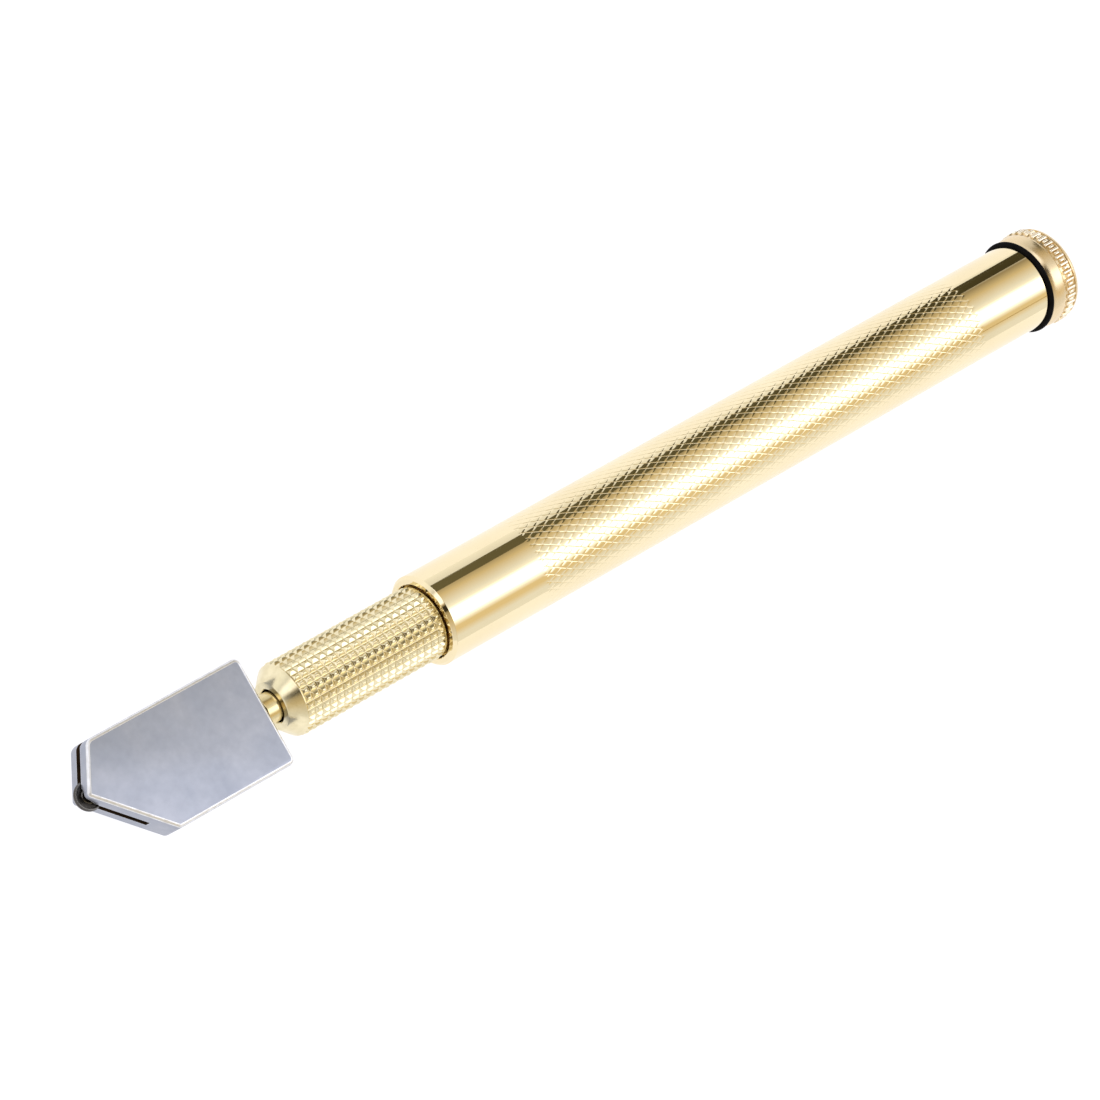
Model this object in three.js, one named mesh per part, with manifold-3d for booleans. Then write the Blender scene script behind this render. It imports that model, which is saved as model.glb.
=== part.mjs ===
// Oil-fed glass cutter: knurled brass handle with a screw cap, a knurled nose, and a flat steel
// head that swivels on a sprung stem and carries a small cutting wheel.
//
// Frame, in millimetres: the origin is the centre of the cap's flat butt. +X runs along the
// handle's axis to the wheel, +Z is square to the flat of the head, and +Y completes the frame.

import * as THREE from 'three';
import { mergeVertices } from 'three/addons/utils/BufferGeometryUtils.js';
import Module from 'manifold-3d';

const wasm = await Module();
wasm.setup();

// ---------------------------------------------------------------- driving dimensions

const SIDES = 30;                   // facets round a turned part, one for each row of the nose knurl
const WHEEL_SIDES = 36;
const HOLE_SIDES = 24;
const PIN_SIDES = 16;
const WICK_SIDES = 12;

const CLEARANCE = 0.1;              // between a loose piece and its seat
const PLAY = 0.15;                  // round a pin or a clip
const FIT = 0.2;                    // round a thread or a turning shaft

const CAP_DOME = 1.3;               // axial length of the cap's rounded edge
const CAP_RIM = 2.0;                // width of its ridged rim
const CAP_SHOULDER = 2.4;           // width of its plain shoulder
const CAP_BUTT_R = 5.2;             // flat butt
const DOME_PULL_X = 0.1;            // control point of the dome's curve, in front of the butt
const DOME_PULL_R = 0.4;            // and inside the rim
const CAP_CHAMFER = 0.3;
const CAP_RIM_R = 7.3;              // over the ridges
const CAP_SHOULDER_R = 7.1;
const CAP_RIDGES = 36;
const RIDGE_DEPTH = 0.3;
const PLUG_R = 4.5;                 // threaded plug that closes the reservoir
const PLUG_LENGTH = 7.8;
const PLUG_CHAMFER = 0.6;
const SEAL_GAP = 0.8;               // from cap to tube, filled by the O-ring
const SEAL_R = 7.05;                // outer radius of the squeezed O-ring
const SEAL_BORE_R = 5.0;
const SEAL_CROWN = 0.2;

const TUBE_R = 6.5;
const TUBE_BORE_R = 5.3;
const TUBE_LENGTH = 115.9;
const TUBE_CHAMFER = 0.4;
const INSERT_R = 5.2;               // threaded inserts pressed into both ends of the tube
const REAR_INSERT_LENGTH = 8.2;
const FRONT_INSERT_LENGTH = 9.6;
const INSERT_RECESS = 0.4;
const NOSE_GAP = 0.2;               // between the end of the tube and the nose

const NOSE_LENGTH = 24.1;           // knurled length in front of the tube
const NOSE_CONE = 2.0;
const NOSE_R = 5.25;                // over the knurl's points
const NOSE_ROOT_R = 4.8;
const NOSE_FACE_R = 3.4;
const CONE_LIP_X = 0.05;            // step where the cone starts
const CONE_LIP_R = 0.15;
const NOSE_HOLE_R = 2.35;
const NOSE_TAIL_R = 4.0;            // threaded tail inside the front insert
const NOSE_TAIL_LENGTH = 9.4;
const TAIL_CHAMFER = 0.4;
const NOSE_CHAMBER_R = 3.3;         // holds the valve
const NOSE_BEARING = 10.5;          // length of the stem's bearing
const KNURL_RINGS = 19;

const STEM_R = 2.1;
const STEM_GAP = 2.2;               // stem seen between the nose and the head
const TENON_R = 1.8;
const TENON_LENGTH = 7.9;
const CHANNEL_R = 0.9;              // oil channel through the stem
const PIN_R = 0.8;                  // thin rear end of the stem, which opens the valve
const PIN_SHOULDER = 0.6;           // slope from the thin end to the full stem
const PIN_GAP = 0.07;               // from the pin to the ball
const STEM_TAIL = 4.6;              // full stem behind its bearing
const FEED_R = 0.35;                // cross hole that lets oil into the channel
const FEED_X = 1.0;
const WICK_R = 0.65;
const WICK_START = 1.6;             // from the rear of the full stem
const WICK_REACH = 19.2;            // into the head

const CLIP_SETBACK = 2.7;           // retaining ring behind the bearing
const CLIP_THICKNESS = 0.5;
const CLIP_R = 3.0;
const CLIP_GAP = 1.6;
const GROOVE_R = 1.6;
const WASHER_R = 3.1;
const WASHER_THICKNESS = 0.4;
const STEM_SEAL_WIDTH = 1.3;
const STEM_SEAL_SLOPE = 0.3;
const STEM_SEAL_BORE_R = 2.2;
const STEM_SEAL_WAIST_R = 2.5;
const STEM_SEAL_R = 3.2;

const HEAD_LENGTH = 28.5;           // rear face to the point where the two cutting edges meet
const HEAD_WIDTH = 15.5;
const HEAD_THICKNESS = 5.2;
const HEAD_BEVEL = 0.35;
const HEAD_OFFSET_Y = -1.5;         // the wheel trails the swivel axis by this much
const HEAD_REAR_CORNER_R = 0.9;
const HEAD_STEEP_CORNER_R = 1.2;
const HEAD_POINT_R = 0.6;
const HEAD_SHALLOW_CORNER_R = 0.8;
const STEEP_ANGLE = THREE.MathUtils.degToRad(60);
const SHALLOW_ANGLE = THREE.MathUtils.degToRad(45);
const SLOT_WIDTH = 1.2;
const SLOT_SAW_R = 14;
const SLOT_DEPTH_X = 20.15;         // rear face to the bottom of the slot
const SLOT_OFFSET_Y = 0.3;          // centre of the saw from the wheel
const POCKET_R = 1.8;
const POCKET_DEPTH = 1.2;           // behind the wheel's centre
const TENON_END_GAP = 0.3;
const OIL_WAY_R = 1.0;
const OIL_WAY_OVERRUN = 1.5;        // past the bottom of the slot
const WHEEL_R = 2.0;
const WHEEL_WIDTH = 0.9;
const WHEEL_BORE_R = 0.55;
const WHEEL_EDGE = 0.17;            // height of the wheel's cutting edge
const WHEEL_BACKSET = 1.3;          // wheel centre behind the point of the head
const AXLE_R = 0.45;
const AXLE_COVER = 0.8;             // metal left over the axle's blind end
const AXLE_SETBACK = 0.2;           // axle from the flats of the head

const SEAT_SETBACK = 6.8;           // valve seat behind the bearing
const SEAT_LENGTH = 2.6;
const SEAT_HOLE_R = 1.3;
const BALL_R = 2.0;
const SPRING_R = 1.6;
const SPRING_WIRE_R = 0.25;
const SPRING_TURNS = 7;
const SPRING_STEPS = 11;            // facets in one turn
const SPRING_SEAT_LENGTH = 2;
const SPRING_SEAT_SETBACK = 3.2;    // its front face from the tail's end
const SPRING_SEAT_HOLE_R = 1.1;

// ---------------------------------------------------------------- positions along the axis

const rimStart = CAP_DOME;
const rimEnd = rimStart + CAP_RIM;
const capFace = rimEnd + CAP_SHOULDER;
const tubeRear = capFace + SEAL_GAP;
const tubeFront = tubeRear + TUBE_LENGTH;
const noseShoulder = tubeFront + NOSE_GAP;
const noseConeStart = tubeFront + NOSE_LENGTH;
const noseFace = noseConeStart + NOSE_CONE;
const noseTailEnd = noseShoulder - NOSE_TAIL_LENGTH;
const bearingEnd = noseFace - NOSE_BEARING;
const headRear = noseFace + STEM_GAP;
const headPoint = headRear + HEAD_LENGTH;
const wheelX = headPoint - WHEEL_BACKSET;

// ---------------------------------------------------------------- materials

const finish = (color, roughness, metalness) =>
  new THREE.MeshStandardMaterial({ color, roughness, metalness });

const polishedBrass = finish(0xd8bd6a, 0.2, 1);
const satinBrass = finish(0xd2b27c, 0.35, 1);
const knurledBrass = finish(0xdcc878, 0.3, 1);
const plainBrass = finish(0xc7a85c, 0.4, 1);
const nickel = finish(0xb0b4c2, 0.35, 1);
const steel = finish(0x8c8f96, 0.3, 1);
const carbide = finish(0x5a5b60, 0.25, 1);
const rubber = finish(0x151515, 0.8, 0);
const fibre = finish(0x6b4a32, 0.8, 0);
const cotton = finish(0xe9e2cf, 0.95, 0);

// ---------------------------------------------------------------- geometry helpers

// Merges shared vertices, drops the empty triangles left at poles and turns the faces outwards.
function closed(geometry) {
  let bare = geometry.clone();
  bare.deleteAttribute('normal');
  bare.deleteAttribute('uv');
  bare = mergeVertices(bare, 1e-4);
  const place = bare.attributes.position;
  const corner = [new THREE.Vector3(), new THREE.Vector3(), new THREE.Vector3()];
  const kept = [];
  let volume = 0;
  for (let i = 0; i < bare.index.count; i += 3) {
    const face = [0, 1, 2].map((k) => bare.index.getX(i + k));
    if (new Set(face).size < 3) continue;
    face.forEach((vertex, k) => corner[k].fromBufferAttribute(place, vertex));
    volume += corner[0].dot(corner[1].cross(corner[2]));
    kept.push(face);
  }
  const ordered = volume < 0 ? kept.map(([a, b, c]) => [a, c, b]) : kept;
  bare.setIndex(ordered.flat());
  return bare;
}

function toManifold(geometry) {
  const solid = closed(geometry);
  return new wasm.Manifold(new wasm.Mesh({
    numProp: 3,
    vertProperties: new Float32Array(solid.attributes.position.array),
    triVerts: new Uint32Array(solid.index.array),
  }));
}

function fromManifold(solid) {
  const { vertProperties, triVerts, numProp } = solid.getMesh();
  const geometry = new THREE.BufferGeometry();
  const places = [];
  for (let i = 0; i < vertProperties.length; i += numProp) {
    places.push(vertProperties[i], vertProperties[i + 1], vertProperties[i + 2]);
  }
  geometry.setAttribute('position', new THREE.Float32BufferAttribute(places, 3));
  geometry.setIndex(Array.from(triVerts));
  return geometry;
}

function cut(body, tools) {
  return fromManifold(tools.reduce((rest, tool) => rest.subtract(toManifold(tool)), toManifold(body)));
}

function join(bodies) {
  return fromManifold(bodies.map(toManifold).reduce((sum, body) => sum.add(body)));
}

// A solid turned about the X axis from a profile of [x, radius] points.
function turned(profile, sides = SIDES) {
  const points = profile.map(([x, radius]) => new THREE.Vector2(radius, x));
  return closed(new THREE.LatheGeometry(points, sides, Math.PI / sides).rotateZ(-Math.PI / 2));
}

function ring(x0, x1, innerR, outerR, sides = SIDES) {
  return turned([[x0, innerR], [x0, outerR], [x1, outerR], [x1, innerR], [x0, innerR]], sides);
}

function rod(x0, x1, radius, sides = SIDES) {
  return turned([[x0, 0], [x0, radius], [x1, radius], [x1, 0]], sides);
}

// A round bar along Z.
function post(x, y, z0, z1, radius, sides = 20) {
  const bar = new THREE.CylinderGeometry(radius, radius, z1 - z0, sides).rotateX(Math.PI / 2);
  return bar.translate(x, y, (z0 + z1) / 2);
}

// An outline with rounded corners, from corners given anticlockwise as [x, y, radius].
function roundedOutline(corners) {
  const shape = new THREE.Shape();
  corners.forEach(([x, y, radius], i) => {
    const here = new THREE.Vector2(x, y);
    const [x0, y0] = corners.at(i - 1);
    const [x1, y1] = corners[(i + 1) % corners.length];
    const before = new THREE.Vector2(x0, y0).sub(here).normalize();
    const after = new THREE.Vector2(x1, y1).sub(here).normalize();
    const halfAngle = Math.acos(before.dot(after)) / 2;
    const inward = before.clone().add(after).setLength(radius / Math.sin(halfAngle));
    const centre = here.clone().add(inward);
    const start = before.setLength(radius / Math.tan(halfAngle)).sub(inward).angle();
    const end = after.setLength(radius / Math.tan(halfAngle)).sub(inward).angle();
    shape.absarc(centre.x, centre.y, radius, start, end, false);
  });
  shape.closePath();
  return shape;
}

// ---------------------------------------------------------------- cap and its seal

function endCap() {
  const dome = new THREE.QuadraticBezierCurve(
    new THREE.Vector2(0, CAP_BUTT_R), new THREE.Vector2(DOME_PULL_X, CAP_RIM_R - DOME_PULL_R),
    new THREE.Vector2(rimStart, CAP_RIM_R - CLEARANCE)).getPoints(4).map((point) => point.toArray());
  const plugEnd = capFace + PLUG_LENGTH;
  const body = turned([
    [0, 0], ...dome,
    [rimEnd, CAP_SHOULDER_R], [capFace - CAP_CHAMFER, CAP_SHOULDER_R],
    [capFace, CAP_SHOULDER_R - CAP_CHAMFER], [capFace, PLUG_R], [plugEnd - PLUG_CHAMFER, PLUG_R],
    [plugEnd, PLUG_R - PLUG_CHAMFER], [plugEnd, 0],
  ], CAP_RIDGES);
  const star = new THREE.Shape();
  for (let i = 0; i < 2 * CAP_RIDGES; i += 1) {
    const angle = (i + 0.5) * Math.PI / CAP_RIDGES;
    const radius = i % 2 === 0 ? CAP_RIM_R : CAP_RIM_R - RIDGE_DEPTH;
    const point = [radius * Math.cos(angle), radius * Math.sin(angle)];
    if (i === 0) star.moveTo(...point);
    else star.lineTo(...point);
  }
  star.closePath();
  const ridged = new THREE.ExtrudeGeometry(star, { depth: CAP_RIM, bevelEnabled: false })
    .rotateY(Math.PI / 2).translate(rimStart, 0, 0);
  return join([body, ridged]);
}

function capSeal() {
  const front = tubeRear - CLEARANCE / 2;
  const rear = capFace + CLEARANCE / 2;
  return turned([
    [rear, SEAL_BORE_R], [rear, SEAL_R - SEAL_CROWN], [rear + SEAL_CROWN, SEAL_R],
    [front - SEAL_CROWN, SEAL_R], [front, SEAL_R - SEAL_CROWN], [front, SEAL_BORE_R],
    [rear, SEAL_BORE_R],
  ]);
}

// ---------------------------------------------------------------- handle

function handleTube() {
  const c = TUBE_CHAMFER;
  return turned([
    [tubeRear, TUBE_BORE_R], [tubeRear, TUBE_R - c / 2], [tubeRear + c / 2, TUBE_R],
    [tubeFront - c, TUBE_R], [tubeFront, TUBE_R - c], [tubeFront, TUBE_BORE_R],
    [tubeRear, TUBE_BORE_R],
  ]);
}

const rearInsert = () =>
  ring(tubeRear + INSERT_RECESS, tubeRear + REAR_INSERT_LENGTH, PLUG_R + FIT, INSERT_R);

const frontInsert = () =>
  ring(tubeFront - FRONT_INSERT_LENGTH, tubeFront - INSERT_RECESS, NOSE_TAIL_R + FIT, INSERT_R);

// ---------------------------------------------------------------- nose

// Rows of four-sided pyramids round the nose, between two turned ends on the same facets.
function noseCollar() {
  const pitch = (noseConeStart - noseShoulder) / KNURL_RINGS;
  const step = 2 * Math.PI / SIDES;
  const at = (x, radius, angle) => [x, -radius * Math.sin(angle), radius * Math.cos(angle)];
  const faces = [];
  for (let i = 0; i < SIDES; i += 1) {
    const low = (i + 0.5) * step;
    const high = low + step;
    for (let j = 0; j < KNURL_RINGS; j += 1) {
      const x0 = noseShoulder + j * pitch;
      const x1 = x0 + pitch;
      const base = [at(x0, NOSE_ROOT_R, low), at(x0, NOSE_ROOT_R, high),
        at(x1, NOSE_ROOT_R, high), at(x1, NOSE_ROOT_R, low)];
      const peak = at((x0 + x1) / 2, NOSE_R, (low + high) / 2);
      base.forEach((corner, k) => faces.push(corner, base[(k + 1) % 4], peak));
    }
  }
  const knurl = new THREE.BufferGeometry();
  knurl.setAttribute('position', new THREE.Float32BufferAttribute(faces.flat(), 3));
  const rest = new THREE.LatheGeometry([
    [noseConeStart, NOSE_ROOT_R], [noseConeStart + CONE_LIP_X, NOSE_ROOT_R + CONE_LIP_R],
    [noseFace, NOSE_FACE_R], [noseFace, NOSE_HOLE_R], [bearingEnd, NOSE_HOLE_R],
    [bearingEnd, NOSE_CHAMBER_R], [noseTailEnd, NOSE_CHAMBER_R],
    [noseTailEnd, NOSE_TAIL_R - TAIL_CHAMFER], [noseTailEnd + TAIL_CHAMFER, NOSE_TAIL_R],
    [noseShoulder, NOSE_TAIL_R], [noseShoulder, NOSE_ROOT_R],
  ].map(([x, radius]) => new THREE.Vector2(radius, x)), SIDES, Math.PI / SIDES)
    .rotateZ(-Math.PI / 2).toNonIndexed();
  const all = new THREE.BufferGeometry();
  const places = [...rest.attributes.position.array, ...knurl.attributes.position.array];
  all.setAttribute('position', new THREE.Float32BufferAttribute(places, 3));
  return closed(all);
}

const noseGasket = () => ring(tubeFront - INSERT_RECESS + CLEARANCE, noseShoulder - CLEARANCE,
  NOSE_TAIL_R + CLEARANCE, NOSE_ROOT_R - CLEARANCE);

// ---------------------------------------------------------------- stem and valve

const seatFront = bearingEnd - SEAT_SETBACK;
const seatRear = seatFront - SEAT_LENGTH;
const ballX = seatRear - Math.sqrt(BALL_R ** 2 - SEAT_HOLE_R ** 2) - CLEARANCE;
const clipX = bearingEnd - CLIP_SETBACK;
const clipFront = clipX + CLIP_THICKNESS;
const stemRear = bearingEnd - STEM_TAIL;
const springSeatFront = noseTailEnd + SPRING_SEAT_SETBACK;

function headStem() {
  const tenonEnd = headRear + TENON_LENGTH;
  const pinEnd = ballX + BALL_R + PIN_GAP;
  const outside = turned([
    [pinEnd, 0], [pinEnd, PIN_R], [stemRear - PIN_SHOULDER, PIN_R], [stemRear, STEM_R],
    [clipX - PLAY, STEM_R], [clipX - PLAY, GROOVE_R], [clipFront + PLAY, GROOVE_R],
    [clipFront + PLAY, STEM_R], [headRear - FIT, STEM_R], [headRear - FIT, TENON_R],
    [tenonEnd, TENON_R], [tenonEnd, 0],
  ]);
  const channel = rod(stemRear + PIN_SHOULDER, tenonEnd + 1, CHANNEL_R, PIN_SIDES);
  const feed = post(stemRear + FEED_X, 0, -STEM_R - 1, STEM_R + 1, FEED_R, WICK_SIDES);
  return cut(outside, [channel, feed]);
}

const oilWick = () => rod(stemRear + WICK_START, headRear + WICK_REACH, WICK_R, WICK_SIDES);

function stemSeal() {
  const front = bearingEnd - CLEARANCE;
  const rear = front - STEM_SEAL_WIDTH;
  return turned([
    [rear, STEM_SEAL_WAIST_R], [rear + STEM_SEAL_SLOPE, STEM_SEAL_R],
    [front - STEM_SEAL_SLOPE, STEM_SEAL_R], [front, STEM_SEAL_WAIST_R],
    [front - STEM_SEAL_SLOPE, STEM_SEAL_BORE_R], [rear + STEM_SEAL_SLOPE, STEM_SEAL_BORE_R],
    [rear, STEM_SEAL_WAIST_R],
  ]);
}

const thrustWasher = () =>
  ring(clipFront + FIT, clipFront + FIT + WASHER_THICKNESS, STEM_R + PLAY, WASHER_R);

// A snap ring with its gap on the +Y side.
function retainingRing() {
  const gap = new THREE.BoxGeometry(4 * CLIP_THICKNESS, CLIP_R, CLIP_GAP).translate(clipX, CLIP_R, 0);
  return cut(ring(clipX, clipFront, GROOVE_R + PLAY, CLIP_R), [gap]);
}

const valveSeat = () => ring(seatRear, seatFront, SEAT_HOLE_R, NOSE_CHAMBER_R - CLEARANCE);
const valveBall = () => closed(new THREE.SphereGeometry(BALL_R, 20, 12).translate(ballX, 0, 0));
const springSeat = () => ring(springSeatFront - SPRING_SEAT_LENGTH, springSeatFront,
  SPRING_SEAT_HOLE_R, NOSE_CHAMBER_R - CLEARANCE);

function valveSpring() {
  const start = springSeatFront + SPRING_WIRE_R + PLAY;
  const end = ballX - Math.sqrt(BALL_R ** 2 - SPRING_R ** 2) - SPRING_WIRE_R - FIT;
  class Helix extends THREE.Curve {
    getPoint(t, target = new THREE.Vector3()) {
      const angle = t * SPRING_TURNS * 2 * Math.PI;
      return target.set(start + t * (end - start), SPRING_R * Math.cos(angle), SPRING_R * Math.sin(angle));
    }
  }
  const wire = new THREE.Shape().absarc(0, 0, SPRING_WIRE_R, 0, 2 * Math.PI);
  return closed(new THREE.ExtrudeGeometry(wire, {
    steps: SPRING_TURNS * SPRING_STEPS, extrudePath: new Helix(), curveSegments: 4,
  }));
}

// ---------------------------------------------------------------- head and wheel

function headBody() {
  const half = HEAD_WIDTH / 2;
  const steepReach = (half + HEAD_OFFSET_Y) / Math.tan(STEEP_ANGLE);
  const shallowReach = (half - HEAD_OFFSET_Y) / Math.tan(SHALLOW_ANGLE);
  const outline = roundedOutline([
    [headRear, -half, HEAD_REAR_CORNER_R],
    [headPoint - steepReach, -half, HEAD_STEEP_CORNER_R],
    [headPoint, HEAD_OFFSET_Y, HEAD_POINT_R],
    [headPoint - shallowReach, half, HEAD_SHALLOW_CORNER_R],
    [headRear, half, HEAD_REAR_CORNER_R],
  ]);
  const plate = new THREE.ExtrudeGeometry(outline, {
    depth: HEAD_THICKNESS - 2 * HEAD_BEVEL, bevelThickness: HEAD_BEVEL, bevelSize: HEAD_BEVEL,
    bevelOffset: -HEAD_BEVEL, bevelSegments: 2, curveSegments: 5,
  }).translate(0, 0, HEAD_BEVEL - HEAD_THICKNESS / 2);
  const sawX = headRear + SLOT_DEPTH_X + SLOT_SAW_R;
  const slot = post(sawX, HEAD_OFFSET_Y + SLOT_OFFSET_Y, -SLOT_WIDTH / 2, SLOT_WIDTH / 2,
    SLOT_SAW_R, 2 * WHEEL_SIDES);
  const pocket = rod(wheelX - POCKET_DEPTH, headPoint + POCKET_R, POCKET_R, HOLE_SIDES)
    .translate(0, HEAD_OFFSET_Y, 0);
  const axleHole = post(wheelX, HEAD_OFFSET_Y, -HEAD_THICKNESS, HEAD_THICKNESS / 2 - AXLE_COVER,
    AXLE_R + PLAY);
  const tenonHole = rod(headRear - 1, headRear + TENON_LENGTH + TENON_END_GAP, TENON_R + FIT, HOLE_SIDES);
  const oilWay = rod(headRear, headRear + SLOT_DEPTH_X + OIL_WAY_OVERRUN, OIL_WAY_R, PIN_SIDES);
  return cut(plate, [slot, pocket, axleHole, tenonHole, oilWay]);
}

function cuttingWheel() {
  const half = WHEEL_WIDTH / 2;
  const shoulder = WHEEL_R - WHEEL_EDGE;
  const profile = [[WHEEL_BORE_R, -half], [shoulder, -half], [WHEEL_R, 0], [shoulder, half],
    [WHEEL_BORE_R, half], [WHEEL_BORE_R, -half]].map((point) => new THREE.Vector2(...point));
  return closed(new THREE.LatheGeometry(profile, WHEEL_SIDES).rotateX(Math.PI / 2)
    .translate(wheelX, HEAD_OFFSET_Y, 0));
}

const wheelAxle = () => closed(post(wheelX, HEAD_OFFSET_Y, AXLE_SETBACK - HEAD_THICKNESS / 2,
  HEAD_THICKNESS / 2 - AXLE_COVER - AXLE_SETBACK, AXLE_R, PIN_SIDES));

// ---------------------------------------------------------------- assembly

const cutter = new THREE.Group();

function add(parent, name, geometry, material) {
  const mesh = new THREE.Mesh(geometry, material);
  mesh.name = name;
  parent.add(mesh);
}

const cap = new THREE.Group();
add(cap, 'end_cap', endCap(), satinBrass);
add(cap, 'cap_o_ring', capSeal(), rubber);

const handle = new THREE.Group();
add(handle, 'handle_tube', handleTube(), polishedBrass);
add(handle, 'rear_insert', rearInsert(), plainBrass);
add(handle, 'front_insert', frontInsert(), plainBrass);
add(handle, 'nose_collar', noseCollar(), knurledBrass);
add(handle, 'nose_gasket', noseGasket(), fibre);
add(handle, 'stem_o_ring', stemSeal(), rubber);
add(handle, 'valve_seat', valveSeat(), plainBrass);
add(handle, 'spring_seat', springSeat(), plainBrass);
add(handle, 'valve_spring', valveSpring(), steel);

const head = new THREE.Group();
add(head, 'valve_ball', valveBall(), steel);
add(head, 'head_stem', headStem(), plainBrass);
add(head, 'retaining_ring', retainingRing(), steel);
add(head, 'thrust_washer', thrustWasher(), steel);
add(head, 'oil_wick', oilWick(), cotton);
add(head, 'head_body', headBody(), nickel);
add(head, 'wheel_axle', wheelAxle(), steel);
add(head, 'cutting_wheel', cuttingWheel(), carbide);

cutter.add(cap, handle, head);

export default cutter;
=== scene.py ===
"""Finished pieces, finishes and studio for an oil-fed glass cutter, built round its packed frame."""

from math import ceil, cos, floor, pi, radians, sin, sqrt, tan

import bmesh
import bpy
from bpy.props import FloatProperty, FloatVectorProperty, IntProperty, PointerProperty
from bpy.types import Operator, Panel, PropertyGroup
from mathutils import Matrix, Vector


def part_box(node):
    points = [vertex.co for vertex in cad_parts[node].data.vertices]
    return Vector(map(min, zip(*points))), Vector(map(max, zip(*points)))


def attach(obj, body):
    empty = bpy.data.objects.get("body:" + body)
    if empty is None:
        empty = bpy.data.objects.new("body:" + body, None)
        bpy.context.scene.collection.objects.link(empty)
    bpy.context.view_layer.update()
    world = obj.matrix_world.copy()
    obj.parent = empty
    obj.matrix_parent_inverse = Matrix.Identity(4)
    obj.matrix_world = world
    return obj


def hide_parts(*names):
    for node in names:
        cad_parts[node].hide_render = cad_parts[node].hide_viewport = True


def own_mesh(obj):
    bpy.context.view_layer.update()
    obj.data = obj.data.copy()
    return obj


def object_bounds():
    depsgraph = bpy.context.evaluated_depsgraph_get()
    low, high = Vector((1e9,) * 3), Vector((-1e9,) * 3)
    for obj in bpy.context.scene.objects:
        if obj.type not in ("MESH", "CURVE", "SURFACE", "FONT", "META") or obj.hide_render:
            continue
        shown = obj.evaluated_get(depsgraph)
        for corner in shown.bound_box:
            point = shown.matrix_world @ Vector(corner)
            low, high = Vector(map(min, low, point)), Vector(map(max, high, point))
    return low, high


bl_info = {
    "name": "Glass Cutter",
    "version": (1, 0, 0),
    "blender": (4, 5, 0),
    "location": "View3D > Sidebar > Glass Cutter",
    "description": "Builds the finished pieces of an oil-fed glass cutter round its frame",
    "category": "Object",
}

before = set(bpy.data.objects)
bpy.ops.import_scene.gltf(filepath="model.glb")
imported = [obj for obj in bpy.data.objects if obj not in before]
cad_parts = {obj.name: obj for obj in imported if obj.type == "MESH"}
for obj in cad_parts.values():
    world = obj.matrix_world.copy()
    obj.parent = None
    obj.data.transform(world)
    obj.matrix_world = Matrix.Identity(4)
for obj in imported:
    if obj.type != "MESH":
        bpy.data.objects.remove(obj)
CAD_BOX = [list(corner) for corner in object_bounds()]

MM = 0.001
FULL = 2 * pi
ROUND = 96  # steps round a turned piece
FINE_ROUND = 144  # steps round the large bright pieces
SMALL_ROUND = 48  # steps round pins, balls and wire
MERGE = 2e-7  # points closer than this are one point
TOUCH = 0.05 * MM  # gap kept between pieces that lie on each other
AXIS = Vector((1, 0, 0))


def span(node):
    """Where a CAD node starts and ends along the handle."""
    low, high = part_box(node)
    return low.x, high.x


def reach(node):
    """Outer radius of a CAD node that is centred on the handle's axis."""
    low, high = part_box(node)
    return max(high.y, high.z)


CAP_END = span("end_cap")[1]
TUBE_START, TUBE_END = span("handle_tube")
NOSE_START, NOSE_END = span("nose_collar")
STEM_START, STEM_END = span("head_stem")
HEAD_LOW, HEAD_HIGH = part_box("head_body")
WHEEL_LOW, WHEEL_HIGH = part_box("cutting_wheel")
WHEEL_CENTRE = (WHEEL_LOW + WHEEL_HIGH) / 2
BALL_LOW, BALL_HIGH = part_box("valve_ball")
BALL_CENTRE = (BALL_LOW + BALL_HIGH) / 2


# ---------------------------------------------------------------- sizes and colours


def length(name, description, default):
    """A size in metres."""
    return FloatProperty(name=name, description=description, default=default, precision=5, unit="LENGTH")


def angle(name, description, default):
    """An angle, given in degrees."""
    return FloatProperty(
        name=name, description=description, default=radians(default), subtype="ANGLE", unit="ROTATION"
    )


def colour(name, description, default):
    """A colour, linear."""
    return FloatVectorProperty(
        name=name, description=description, default=default, size=3, subtype="COLOR", min=0, max=1
    )


class BarrelSizes(PropertyGroup):
    """Sizes of the knurled handle tube."""

    radius: length("Radius", "Outer radius of the tube", reach("handle_tube"))
    bore: length("Bore", "Inner radius of the tube", reach("handle_tube") - 1.2 * MM)
    front_chamfer: length("Front chamfer", "Chamfer at the nose end", 0.4 * MM)
    rear_chamfer: length("Rear chamfer", "Chamfer at the cap end", 0.2 * MM)
    plain_front: length("Plain front", "Smooth stretch at the nose end", 16.9 * MM)
    plain_rear: length("Plain rear", "Smooth stretch at the cap end", 13.9 * MM)
    starts: IntProperty(name="Starts", description="Grooves round the tube, each way", default=36)
    pitch: length("Pitch", "Distance between grooves along the axis", 2.118 * MM)
    groove: length("Groove", "Width of a groove", 0.12 * MM)
    depth: length("Depth", "Depth of a groove", 0.022 * MM)
    second_depth: length("Second depth", "Depth of the grooves that cross them", 0.012 * MM)


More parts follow.
